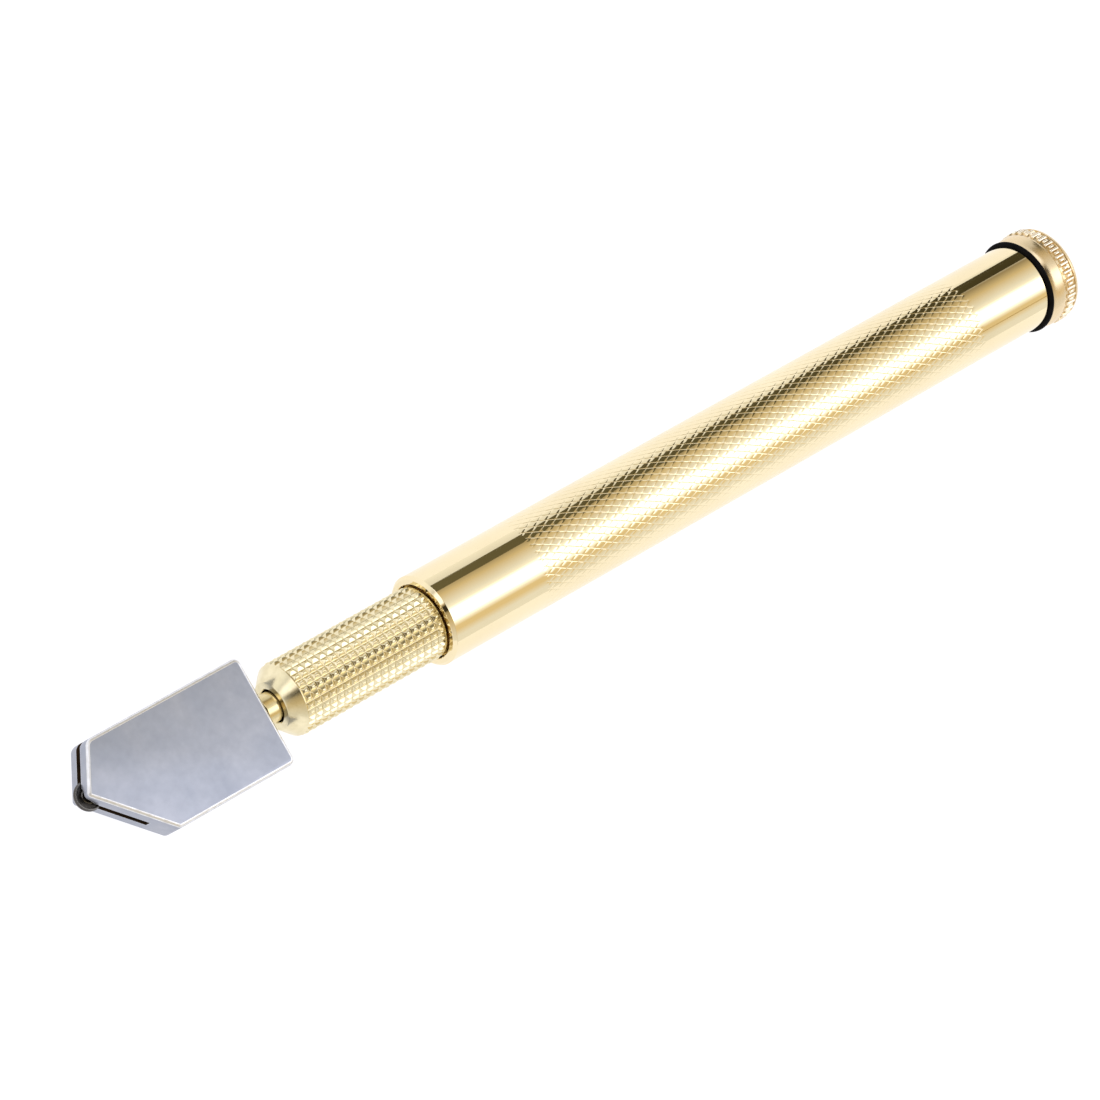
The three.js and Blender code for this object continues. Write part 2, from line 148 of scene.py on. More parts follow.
class NoseSizes(PropertyGroup):
    """Sizes of the knurled nose."""

    crest: length("Crest", "Radius over the points of the knurl", reach("nose_collar"))
    root: length("Root", "Radius at the bottom of the knurl", reach("nose_collar") - 0.36 * MM)
    rows: IntProperty(name="Rows", description="Rows of points round the nose", default=30)
    rings: IntProperty(name="Rings", description="Rings of points along the nose", default=19)
    turn: angle("Turn", "Turn of the knurl about the axis", 3.5)
    shoulder: length("Shoulder", "Where the knurl starts, in front of the tube", 0.2 * MM)
    cone: length("Cone", "Length of the cone at the front", 2.0 * MM)
    face: length("Face", "Radius of the flat front face", 3.4 * MM)
    hole: length("Hole", "Radius of the stem's bearing", 2.35 * MM)
    bearing: length("Bearing", "Length of the stem's bearing", 10.5 * MM)
    chamber: length("Chamber", "Radius of the valve chamber", 3.3 * MM)
    thread: length("Thread", "Radius over the thread of the tail", 4.0 * MM)
    thread_depth: length("Thread depth", "Depth of the tail's thread", 0.35 * MM)
    thread_pitch: length("Thread pitch", "Pitch of the tail's thread", 0.75 * MM)


class CapSizes(PropertyGroup):
    """Sizes of the screw cap and its seal."""

    butt: length("Butt", "Radius of the flat butt", 5.2 * MM)
    dome: length("Dome", "Length of the rounded edge", 1.3 * MM)
    rim: length("Rim", "Width of the ribbed rim", 2.0 * MM)
    crest: length("Crest", "Radius over the ribs", reach("end_cap"))
    rib: length("Rib", "Height of a rib", 0.36 * MM)
    ribs: IntProperty(name="Ribs", description="Long ribs round the rim, short ones between", default=36)
    shoulder: length("Shoulder", "Radius of the plain shoulder", 7.1 * MM)
    shoulder_drop: length("Shoulder drop", "How far the shoulder rounds down towards its seal", 0.75 * MM)
    face: length("Face", "Where the cap meets its seal", 5.7 * MM)
    thread: length("Thread", "Radius over the plug's thread", 4.5 * MM)
    thread_depth: length("Thread depth", "Depth of the plug's thread", 0.5 * MM)
    thread_pitch: length("Thread pitch", "Travel of the cap for one turn", 1.0 * MM)


class HeadSizes(PropertyGroup):
    """Sizes of the flat head and its wheel."""

    point_y: length("Point", "Sideways place of the head's point", WHEEL_CENTRE.y)
    steep: angle("Steep edge", "Angle from the axis to the steep edge", 60)
    shallow: angle("Shallow edge", "Angle from the axis to the shallow edge", 45)
    bevel: length("Bevel", "Width of the rounded rim", 0.48 * MM)
    slot: length("Slot", "Width of the saw slot", 1.2 * MM)
    saw: length("Saw", "Radius of the saw that cut the slot", 14 * MM)
    pocket: length("Pocket", "Radius of the wheel's pocket", 1.35 * MM)
    slot_start: length("Slot start", "Bottom of the saw slot, from the back of the head", 20.15 * MM)
    saw_offset: length("Saw offset", "Sideways place of the saw, from the point", 0.3 * MM)
    socket: length("Socket", "Radius of the bore for the stem", 2.0 * MM)
    socket_depth: length("Socket depth", "Depth of the bore for the stem", 8.2 * MM)
    oil_way: length("Oil way", "Radius of the bore that feeds the wheel", 1.0 * MM)
    oil_depth: length("Oil way depth", "Depth of the bore that feeds the wheel", 21.65 * MM)
    hone: angle("Honing", "Angle of each honed face of the wheel", 30)


class FinishColours(PropertyGroup):
    """Base colours of the finishes."""

    polished: colour("Polished brass", "Barrel", (0.92, 0.80, 0.53))
    knurled: colour("Knurled brass", "Nose", (0.88, 0.79, 0.53))
    satin: colour("Satin brass", "Cap", (0.84, 0.69, 0.45))
    plain: colour("Plain brass", "Stem, inserts and seats", (0.86, 0.72, 0.40))
    nickel: colour("Nickel", "Head", (0.47, 0.485, 0.54))
    # painted highlight: the head's rim is coloured paler than nickel, partly for wear and partly for the
    # light it catches
    rubbed_nickel: colour("Rubbed nickel", "Edges of the head", (0.86, 0.87, 0.90))
    steel: colour("Steel", "Spring, ball, clip and axle", (0.56, 0.57, 0.60))
    # painted shade: the wheel is coloured darker than carbide for the shade in its pocket
    carbide: colour("Carbide", "Wheel", (0.10, 0.095, 0.09))
    # painted shade: the walls of the slot and the pocket are coloured near black for the shade that falls
    # inside them
    oil: colour("Old oil", "Walls of the saw slot and the wheel's pocket", (0.035, 0.026, 0.018))
    rubber: colour("Rubber", "Seals", (0.004, 0.004, 0.004))
    fibre: colour("Fibre", "Gasket", (0.42, 0.22, 0.07))
    cotton: colour("Cotton", "Wick", (0.78, 0.72, 0.58))
    table: colour("Light table", "Floor", (0.24, 0.24, 0.24))


class StudioSettings(PropertyGroup):
    """The tent of soft light, the floor and the camera."""

    tent: length("Tent", "Radius of the light tent", 0.9)
    half_length: length("Half length", "How far the tent reaches each way", 2.0)
    seam: length("Seam", "Where the two halves of the tent meet", 0.12)
    light: FloatProperty(name="Light", description="Strength of the tent", default=1.0)
    lens: FloatProperty(name="Lens", description="Focal length", default=159.2, unit="CAMERA")


# ---------------------------------------------------------------- shaping


def whole(bm):
    """Everything that the mesh holds."""
    return bm.verts[:] + bm.edges[:] + bm.faces[:]


def points(geom):
    """The vertices among what an operator made."""
    return [item for item in geom if isinstance(item, bmesh.types.BMVert)]


def lathe(bm, outline, steps=ROUND):
    """Turns an outline of (x, radius) about the axis. Its ends lie on the axis or join each other."""
    verts = [bm.verts.new((x, 0, radius)) for x, radius in outline]
    pairs = list(zip(verts, verts[1:]))
    if outline[0][1] > 0:
        pairs.append((verts[-1], verts[0]))
    edges = [bm.edges.new(pair) for pair in pairs]
    bmesh.ops.spin(
        bm, geom=verts + edges, cent=(0, 0, 0), axis=AXIS, dvec=(0, 0, 0), angle=FULL, steps=steps,
        use_merge=True,
    )
    bmesh.ops.remove_doubles(bm, verts=bm.verts, dist=MERGE)
    bmesh.ops.recalc_face_normals(bm, faces=bm.faces)


def soften(bm, width, above=radians(40)):
    """Rounds every edge that is sharper than an angle."""
    edges = [edge for edge in bm.edges if edge.is_manifold and edge.calc_face_angle() > above]
    bmesh.ops.bevel(
        bm, geom=edges, offset=width, segments=2, profile=0.5, affect="EDGES", material=-1,
        clamp_overlap=True, loop_slide=True,
    )


def open_ring(bm, x):
    """The open edges of a shell nearest to a place on the axis."""
    edges = [edge for edge in bm.edges if edge.is_boundary]
    nearest = min(abs(edge.verts[0].co.x - x) for edge in edges)
    return [edge for edge in edges if abs(edge.verts[0].co.x - x) < nearest + MERGE * 10]


def carry(bm, edges, outline):
    """Carries an open ring along an outline of (x, radius), and gives the ring it ends in."""
    for x, radius in outline:
        made = bmesh.ops.extrude_edge_only(bm, edges=edges)["geom"]
        for vert in points(made):
            out = Vector((0, vert.co.y, vert.co.z)).normalized() * radius
            vert.co = (x, out.y, out.z)
        edges = [item for item in made if isinstance(item, bmesh.types.BMEdge) and item.is_boundary]
    return edges


def disc(bm, place, radius, steps, filled=True):
    """A disc, or an open ring, at a place: its vertices, edges and faces."""
    verts = bmesh.ops.create_circle(bm, cap_ends=filled, segments=steps, radius=radius, matrix=place)["verts"]
    edges = list({edge for vert in verts for edge in vert.link_edges})
    faces = list({face for vert in verts for face in vert.link_faces})
    return verts, edges, faces


def regrid(bm, edges, x, radius, steps=FINE_ROUND):
    """Joins an uneven open ring to an even one, and gives the even one."""
    place = Matrix.Translation((x, 0, 0)) @ Matrix.Rotation(pi / 2, 4, "Y")
    ring = disc(bm, place, radius, steps, filled=False)[1]
    bmesh.ops.bridge_loops(bm, edges=edges + ring)
    return ring


def close_ring(bm, ring, x):
    """Bridges an open ring to the open ring that stands at a place on the axis."""
    match = [edge for edge in bm.edges if edge.is_boundary and abs(edge.verts[0].co.x - x) < MERGE * 10]
    bmesh.ops.bridge_loops(bm, edges=ring + match)


def join(bm, part):
    """Moves what another bmesh holds into this one."""
    mesh = bpy.data.meshes.new("joining")
    part.to_mesh(mesh)
    part.free()
    bm.from_mesh(mesh)
    bpy.data.meshes.remove(mesh)


def close_off(bm, edges):
    """Closes an open ring with one flat face."""
    bmesh.ops.contextual_create(bm, geom=edges)


def around(bm, count):
    """Repeats what the mesh holds evenly round the axis."""
    bmesh.ops.spin(
        bm, geom=whole(bm), cent=(0, 0, 0), axis=AXIS, dvec=(0, 0, 0), angle=FULL * (count - 1) / count,
        steps=count - 1, use_duplicate=True,
    )
    bmesh.ops.remove_doubles(bm, verts=bm.verts, dist=MERGE)


def along(bm, count, pitch):
    """Repeats what the mesh holds evenly along the axis."""
    geom = whole(bm)
    for i in range(1, count):
        made = bmesh.ops.duplicate(bm, geom=geom)["geom"]
        bmesh.ops.translate(bm, verts=points(made), vec=(i * pitch, 0, 0))
    bmesh.ops.remove_doubles(bm, verts=bm.verts, dist=MERGE)


def cut_square(bm, start, end):
    """Cuts a shell off square at two places on the axis."""
    for place, side in ((start, -1), (end, 1)):
        bmesh.ops.bisect_plane(
            bm, geom=whole(bm), dist=MERGE, plane_co=(place, 0, 0), plane_no=(side, 0, 0), clear_outer=True
        )
    bmesh.ops.remove_doubles(bm, verts=bm.verts, dist=MERGE * 10)


def thread(bm, start, end, root, crest, pitch):
    """A right-handed screw thread, open at both ends. Threads of one pitch stay in step."""
    first = floor(start / pitch) - 1
    last = ceil(end / pitch) + 1
    flat = pitch / 8
    verts = []
    for turn in range(first, last):
        for share, radius in ((0, root), (1 / 4, root), (9 / 16, crest), (3 / 4, crest)):
            verts.append(bm.verts.new((turn * pitch + share * pitch - flat, 0, radius)))
    verts.append(bm.verts.new((last * pitch - flat, 0, root)))
    edges = [bm.edges.new(pair) for pair in zip(verts, verts[1:])]
    bmesh.ops.spin(
        bm, geom=verts + edges, cent=(0, 0, 0), axis=AXIS, dvec=(pitch / ROUND, 0, 0), angle=FULL,
        steps=ROUND,
    )
    bmesh.ops.remove_doubles(bm, verts=bm.verts, dist=MERGE * 5)
    cut_square(bm, start, end)


def half_round(x, radius, size, steps=8):
    """The rounded outer end of a seal's section, from its rear side to its front side."""
    turns = [pi * i / steps for i in range(steps + 1)]
    return [(x - size * cos(turn), radius - size + size * sin(turn)) for turn in turns]


def piece(bm, name, look, body, node, crease=35):
    """Makes the mesh a smooth-shaded piece that rides on a body and stands for its CAD node."""
    bmesh.ops.remove_doubles(bm, verts=bm.verts, dist=MERGE)
    for face in bm.faces:
        face.smooth = True
    for edge in bm.edges:
        edge.smooth = not edge.is_manifold or edge.calc_face_angle() < radians(crease)
    mesh = bpy.data.meshes.new(name)
    bm.to_mesh(mesh)
    bm.free()
    mesh.materials.append(finish(look))
    made = bpy.data.objects.new(name, mesh)
    bpy.context.scene.collection.objects.link(made)
    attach(made, body)
    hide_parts(node)
    return made


def carve(bm, tools):
    """Cuts tool shapes, each a bmesh, out of a shape, and gives what is left as a new bmesh."""
    scene = bpy.context.scene
    objects = []
    for shape in [bm] + tools:
        mesh = bpy.data.meshes.new("carving")
        shape.to_mesh(mesh)
        shape.free()
        objects.append(bpy.data.objects.new("carving", mesh))
        scene.collection.objects.link(objects[-1])
    body = objects[0]
    for tool in objects[1:]:
        cut = body.modifiers.new("cut", "BOOLEAN")
        cut.operation = "DIFFERENCE"
        cut.solver = "EXACT"
        cut.object = tool
    cut_mesh = body.evaluated_get(bpy.context.evaluated_depsgraph_get()).data
    left = bmesh.new()
    left.from_mesh(cut_mesh)
    for made in objects:
        mesh = made.data
        bpy.data.objects.remove(made)
        bpy.data.meshes.remove(mesh)
    bmesh.ops.remove_doubles(left, verts=left.verts, dist=MERGE * 5)
    bmesh.ops.dissolve_degenerate(left, edges=left.edges, dist=MERGE)
    return left


def bar(start, end, radius, steps=SMALL_ROUND):
    """A plain round bar along the axis, as a bmesh."""
    bm = bmesh.new()
    lathe(bm, [(start, 0), (start, radius), (end, radius), (end, 0)], steps)
    return bm


def stand_up(bm, place):
    """Turns a shape from along the handle to square to the head, and moves it to a place."""
    upright = Matrix.Translation(place) @ Matrix.Rotation(-pi / 2, 4, "Y")
    bmesh.ops.transform(bm, verts=bm.verts, matrix=upright)
    return bm


def washer(name, node, look, body, inner, outer, rounding):
    """Makes a flat ring with rounded edges."""
    start, end = span(node)
    bm = bmesh.new()
    lathe(bm, [(start, inner), (start, outer), (end, outer), (end, inner)])
    soften(bm, rounding)
    piece(bm, name, look, body, node)


# ---------------------------------------------------------------- shader nodes


def connect(tree, node, inputs):
    """Links or sets a node's sockets."""
    for name, value in inputs.items():
        if isinstance(value, bpy.types.NodeSocket):
            tree.links.new(value, node.inputs[name])
        else:
            node.inputs[name].default_value = value


def add(tree, kind, inputs=None, **settings):
    """A shader node with its settings made and its sockets set or linked."""
    node = tree.nodes.new(kind)
    for name, value in settings.items():
        setattr(node, name, value)
    connect(tree, node, inputs or {})
    return node


def maths(tree, operation, first, second, **settings):
    """The result of one sum."""
    return add(tree, "ShaderNodeMath", {0: first, 1: second}, operation=operation, **settings).outputs[0]


def between(tree, mask, low, high):
    """A value that runs from low to high as a mask goes from 0 to 1."""
    return add(tree, "ShaderNodeMapRange", {"Value": mask, "To Min": low, "To Max": high}).outputs[0]


def blend(tree, mask, under, over):
    """A colour that goes from one to another as a mask goes from 0 to 1."""
    tints = [tint if isinstance(tint, bpy.types.NodeSocket) else (*tint, 1) for tint in (under, over)]
    inputs = {"Factor": mask, "A": tints[0], "B": tints[1]}
    return add(tree, "ShaderNodeMix", inputs, data_type="RGBA").outputs["Result"]


def shade(tree, base, dark, mask, most):
    """A base colour that goes part of the way to a darker one where a mask is 1."""
    return blend(tree, between(tree, mask, 0.0, most), base, dark)


def darker(base, share):
    """A colour at a share of its strength, with a little more warmth."""
    red, green, blue = base
    return (red * share, green * share * 0.94, blue * share * 0.82)


def relief(tree, height, distance, under=None):
    """A bump normal from a height, on top of another normal if one is given."""
    inputs = {"Height": height, "Distance": distance}
    if under is not None:
        inputs["Normal"] = under
    return add(tree, "ShaderNodeBump", inputs).outputs["Normal"]


# ---------------------------------------------------------------- effects that the finishes share


def effect(name, **inputs):
    """A new shader node group that puts out one mask, and its named inputs."""
    tree = bpy.data.node_groups.new(name, "ShaderNodeTree")
    for label, default in inputs.items():
        kind = "NodeSocketVector" if isinstance(default, tuple) else "NodeSocketFloat"
        socket = tree.interface.new_socket(name=label, in_out="INPUT", socket_type=kind)
        socket.default_value = default
    tree.interface.new_socket(name="Mask", in_out="OUTPUT", socket_type="NodeSocketFloat")
    return tree, add(tree, "NodeGroupInput").outputs


def object_place(tree):
    """Where a point lies on its object."""
    return add(tree, "ShaderNodeTexCoord").outputs["Object"]


def clouds():
    """Soft uneven patches, from 0 to 1, at a scale."""
    tree, given = effect("clouds", Scale=300.0, Detail=4.0, Contrast=2.0)
    noise = add(
        tree, "ShaderNodeTexNoise",
        {"Vector": object_place(tree), "Scale": given["Scale"], "Detail": given["Detail"]},
    )
    low = maths(tree, "SUBTRACT", noise.outputs["Fac"], 0.5)
    far = maths(tree, "MULTIPLY", low, given["Contrast"])
    add(tree, "NodeGroupOutput", {"Mask": maths(tree, "ADD", far, 0.5, use_clamp=True)})


def hairlines():
    """Fine lines left by polishing or rolling, long one way and close the other."""
    tree, given = effect("hairlines", Stretch=(60.0, 5000.0, 5000.0), Cover=0.5)
    place = {0: object_place(tree), 1: given["Stretch"]}
    stretched = add(tree, "ShaderNodeVectorMath", place, operation="MULTIPLY")
    noise = add(tree, "ShaderNodeTexNoise", {"Vector": stretched.outputs[0], "Scale": 1.0, "Detail": 3.0})
    more = maths(tree, "SUBTRACT", noise.outputs["Fac"], given["Cover"])
    add(tree, "NodeGroupOutput", {"Mask": maths(tree, "MULTIPLY", more, 5.0, use_clamp=True)})


def edge_wear():
    """Where edges are paler from wear and from a painted highlight: 1 on an edge, 0 on a flat."""
    tree, given = effect("edge_wear", Width=0.2 * MM, Strength=4.0)
    rounded = add(tree, "ShaderNodeBevel", {"Radius": given["Width"]}, samples=4)
    normals = {0: rounded.outputs[0], 1: add(tree, "ShaderNodeNewGeometry").outputs["Normal"]}
    same = add(tree, "ShaderNodeVectorMath", normals, operation="DOT_PRODUCT").outputs["Value"]
    bent = maths(tree, "SUBTRACT", 1.0, same)
    worn_and_lit = maths(tree, "MULTIPLY", bent, given["Strength"], use_clamp=True)
    add(tree, "NodeGroupOutput", {"Mask": worn_and_lit})


def turning_marks():
    """Fine rings left by the lathe along the handle's axis."""
    tree, given = effect("turning_marks", Rings=9000.0)
    apart = add(tree, "ShaderNodeSeparateXYZ", {0: object_place(tree)})
    noise = add(
        tree, "ShaderNodeTexNoise", {"W": apart.outputs["X"], "Scale": given["Rings"], "Detail": 2.0},
        noise_dimensions="1D",
    )
    add(tree, "NodeGroupOutput", {"Mask": noise.outputs["Fac"]})


def mask(tree, shared, **inputs):
    """The mask of a shared effect, which is built the first time that it is used."""
    if shared.__name__ not in bpy.data.node_groups:
        shared()
    group = bpy.data.node_groups[shared.__name__]
    return add(tree, "ShaderNodeGroup", inputs, node_tree=group).outputs["Mask"]


# ---------------------------------------------------------------- finishes


def polished_brass(tree, base):
    """Bright rolled brass with faint lines along it and a slightly uneven tone."""
    tone = mask(tree, clouds, Scale=90.0, Detail=3.0, Contrast=1.6)
    lines = mask(tree, hairlines, Stretch=(90.0, 4200.0, 4200.0), Cover=0.52)
    return {
        "Base Color": shade(tree, base, darker(base, 0.82), tone, 0.4),
        "Metallic": 1.0,
        "Roughness": between(tree, lines, 0.04, 0.1),
        "Normal": relief(tree, lines, 0.00006 * MM),
    }


def knurled_brass(tree, base):
    """Bright brass of the nose in an uneven tone, paler along the edges of its points from wear and from a
    painted highlight.
    """
    tone = mask(tree, clouds, Scale=700.0, Detail=4.0, Contrast=2.2)
    grain = mask(tree, clouds, Scale=6000.0, Detail=2.0, Contrast=1.5)
    worn_and_highlit = mask(tree, edge_wear, Width=0.04 * MM, Strength=1.2)
    toned = shade(tree, base, darker(base, 0.72), tone, 0.5)
    return {
        # painted highlight: the edges of the points go paler than brass, partly for wear
        "Base Color": blend(tree, worn_and_highlit, toned, (0.98, 0.92, 0.70)),
        "Metallic": 1.0,
        "Roughness": between(tree, grain, 0.14, 0.24),
        "Normal": relief(tree, grain, 0.0006 * MM),
    }


def satin_brass(tree, base):
    """Softly blasted rosy brass of the cap, with faint lathe rings, and ribs paler on top from the wear of
    fingers and from a painted highlight.
    """
    cap = bpy.context.scene.cutter_cap
    tone = mask(tree, clouds, Scale=350.0, Detail=4.0, Contrast=1.8)
    grain = mask(tree, clouds, Scale=9000.0, Detail=2.0, Contrast=1.6)
    rings = mask(tree, turning_marks, Rings=7000.0)
    across = add(
        tree, "ShaderNodeVectorMath", {0: object_place(tree), 1: (0.0, 1.0, 1.0)}, operation="MULTIPLY"
    )
    from_axis = add(tree, "ShaderNodeVectorMath", {0: across.outputs["Vector"]}, operation="LENGTH")
    # painted highlight: the tops of the ribs, found by their distance from the axis, go pale, partly for wear
    low, high = cap.crest - cap.rib * 0.5, cap.crest - cap.rib * 0.15
    worn_and_highlit_tops = add(
        tree, "ShaderNodeMapRange", {"Value": from_axis.outputs["Value"], "From Min": low, "From Max": high}
    )
    toned = shade(tree, base, darker(base, 0.75), tone, 0.5)
    return {
        "Base Color": blend(tree, worn_and_highlit_tops.outputs[0], toned, (1.0, 0.93, 0.79)),
        "Metallic": 1.0,
        "Roughness": between(tree, grain, 0.2, 0.3),
        "Normal": relief(tree, grain, 0.0008 * MM, under=relief(tree, rings, 0.0015 * MM)),
    }


def plain_brass(tree, base):
    """Turned brass of the inner pieces, as it left the lathe, with a thin film of oil."""
    tone = mask(tree, clouds, Scale=420.0, Detail=4.0, Contrast=2.0)
    rings = mask(tree, turning_marks, Rings=9000.0)
    return {
        "Base Color": shade(tree, base, darker(base, 0.55), tone, 0.55),
        "Metallic": 1.0,
        "Roughness": between(tree, rings, 0.12, 0.22),
        "Normal": relief(tree, rings, 0.001 * MM),
        "Coat Weight": between(tree, tone, 0.05, 0.3),
    }


def satin_nickel(tree, base):
    """Cool grey nickel plate of the head: clouded, finely grained, and paler on its edges from wear and from
    a painted highlight.
    """
    patches = mask(tree, clouds, Scale=190.0, Detail=4.0, Contrast=1.6)
    mottle = mask(tree, clouds, Scale=900.0, Detail=4.0, Contrast=1.3)
    grain = mask(tree, clouds, Scale=5200.0, Detail=2.0, Contrast=1.2)
    worn_and_highlit = mask(tree, edge_wear, Width=0.22 * MM, Strength=5.0)
    red, green, blue = base
    cloudy = shade(tree, base, (red * 0.76, green * 0.80, blue * 0.86), patches, 1.0)
    spotted = shade(tree, cloudy, (red * 0.62, green * 0.64, blue * 0.68), mottle, 0.55)
    return {
        # painted highlight: the edges go paler than nickel, partly for wear and partly for the light they
        # catch
        "Base Color": blend(tree, worn_and_highlit, spotted, (0.86, 0.87, 0.90)),
        "Metallic": 1.0,
        "Roughness": between(tree, patches, 0.38, 0.46),
        "Normal": relief(tree, grain, 0.0006 * MM, under=relief(tree, mottle, 0.002 * MM)),
    }


def rubbed_nickel(tree, base):
    """Nickel plate along the head's edges, paler than nickel from wear and from a painted highlight."""
    nicks = mask(tree, clouds, Scale=1400.0, Detail=4.0, Contrast=2.4)
    return {
        "Base Color": shade(tree, base, darker(base, 0.6), nicks, 0.4),
        "Metallic": 1.0,
        "Roughness": between(tree, nicks, 0.34, 0.48),
        "Normal": relief(tree, nicks, 0.004 * MM),
    }


def oily_steel(tree, base):
    """Walls of the saw slot and the wheel's pocket, painted near black as the shade inside them, in uneven
    patches.
    """
    stain = mask(tree, clouds, Scale=600.0, Detail=4.0, Contrast=2.2)
    return {
        "Base Color": shade(tree, base, (0.10, 0.055, 0.025), stain, 1.0),
        "Metallic": 0.6,
        "Roughness": between(tree, stain, 0.3, 0.55),
        "Normal": relief(tree, stain, 0.01 * MM),
    }


def bright_steel(tree, base):
    """Drawn and ground steel of the small springs and pins."""
    tone = mask(tree, clouds, Scale=900.0, Detail=4.0, Contrast=2.0)
    lines = mask(tree, hairlines, Stretch=(3000.0, 3000.0, 9000.0), Cover=0.5)
    return {
        "Base Color": shade(tree, base, darker(base, 0.6), tone, 0.5),
        "Metallic": 1.0,
        "Roughness": between(tree, lines, 0.18, 0.3),
        "Normal": relief(tree, lines, 0.001 * MM),
    }


def ground_carbide(tree, base):
    """Dense ground carbide of the wheel, its body painted darker than carbide as the shade in its pocket, its
    honed edge paler from wear and from a painted highlight.
    """
    grain = mask(tree, clouds, Scale=12000.0, Detail=3.0, Contrast=2.0)
    worn_and_highlit = mask(tree, edge_wear, Width=0.12 * MM, Strength=4.0)
    toned = shade(tree, base, darker(base, 0.6), grain, 0.6)
    return {
        # painted highlight: the edges go paler, partly for wear
        "Base Color": blend(tree, worn_and_highlit, toned, (0.42, 0.41, 0.39)),
        "Metallic": 1.0,
        "Roughness": between(tree, grain, 0.2, 0.34),
        "Normal": relief(tree, grain, 0.0015 * MM),
    }


def black_rubber(tree, base):
    """Moulded nitrile rubber, wet with a trace of oil."""
    dust = mask(tree, clouds, Scale=800.0, Detail=5.0, Contrast=2.5)
    grain = mask(tree, clouds, Scale=8000.0, Detail=2.0, Contrast=1.5)
    return {
        "Base Color": shade(tree, base, (0.012, 0.011, 0.012), dust, 0.6),
        "Roughness": between(tree, grain, 0.3, 0.45),
        "Specular IOR Level": 0.02,
        "Normal": relief(tree, grain, 0.0006 * MM),
    }


def pressed_fibre(tree, base):
    """Vulcanised fibre of the gasket, with short fibres in it."""
    fibres = mask(tree, hairlines, Stretch=(6000.0, 900.0, 4000.0), Cover=0.45)
    return {
        "Base Color": shade(tree, base, darker(base, 0.5), fibres, 0.8),
        "Roughness": between(tree, fibres, 0.6, 0.85),
        "Normal": relief(tree, fibres, 0.02 * MM),
    }


def twisted_cotton(tree, base):
    """Cotton yarn of the wick, stained by oil in patches."""
    fibres = mask(tree, hairlines, Stretch=(2500.0, 9000.0, 9000.0), Cover=0.42)
    stain = mask(tree, clouds, Scale=260.0, Detail=3.0, Contrast=2.5)
    fibred = shade(tree, base, darker(base, 0.7), fibres, 0.7)
    return {
        "Base Color": shade(tree, fibred, (0.5, 0.38, 0.2), stain, 0.5),
        "Roughness": between(tree, fibres, 0.8, 0.95),
        "Sheen Weight": 0.3,
        "Normal": relief(tree, fibres, 0.03 * MM),
    }


def light_table(tree, base):
    """White acrylic lit from below, very slightly uneven."""
    tooth = mask(tree, clouds, Scale=500.0, Detail=3.0, Contrast=1.5)
    return {
        "Base Color": shade(tree, base, (0.22, 0.22, 0.22), tooth, 1.0),
        "Roughness": 0.9,
        "Specular IOR Level": 0.0,
        "Emission Color": (1.0, 1.0, 1.04, 1),
        "Emission Strength": 0.9,
    }


# each finish by name, with the colour that it starts from
FINISHES = {
    "polished_brass": (polished_brass, "polished"),
    "knurled_brass": (knurled_brass, "knurled"),
    "satin_brass": (satin_brass, "satin"),
    "plain_brass": (plain_brass, "plain"),
    "satin_nickel": (satin_nickel, "nickel"),
    "rubbed_nickel": (rubbed_nickel, "rubbed_nickel"),
    "oily_steel": (oily_steel, "oil"),
    "bright_steel": (bright_steel, "steel"),
    "ground_carbide": (ground_carbide, "carbide"),
    "black_rubber": (black_rubber, "rubber"),
    "pressed_fibre": (pressed_fibre, "fibre"),
    "twisted_cotton": (twisted_cotton, "cotton"),
    "light_table": (light_table, "table"),
}


def finish(name):
    """The named finish, made the first time it is asked for."""
    material = bpy.data.materials.get("cutter_" + name)
    if material is None:
        material = bpy.data.materials.new("cutter_" + name)
        material.use_nodes = True
        tree = material.node_tree
        recipe, base = FINISHES[name]
        sockets = recipe(tree, tuple(getattr(bpy.context.scene.cutter_finishes, base)))
        connect(tree, tree.nodes["Principled BSDF"], sockets)
    return material


# ---------------------------------------------------------------- barrel


def knurl_cell(bm, sizes):
    """One diamond of the barrel's knurl, level on top, with crossing grooves sunk along its sides."""
    half_length = sizes.pitch / 2
    half_turn = pi / sizes.starts
    half_width = sizes.radius * half_turn
    apart = 2 * half_length * half_width / sqrt(half_length**2 + half_width**2)
    level = 1 - sizes.groove / apart
    grid = bmesh.ops.create_grid(bm, x_segments=5, y_segments=5, size=1)
    rim = 0.9
    inner = level / 0.6  # the grid's second lines, at 0.6, go to the edges of the level top
    for vert in grid["verts"]:
        u, v = (side if abs(side) > rim else side * inner for side in vert.co.xy)
        radius = sizes.radius
        if abs(v) > rim:
            radius = sizes.radius - sizes.second_depth
        if abs(u) > rim:
            radius = sizes.radius - sizes.depth
        turn = (u - v) / 2 * half_turn
        vert.co = ((u + v) / 2 * half_length, radius * sin(turn), radius * cos(turn))


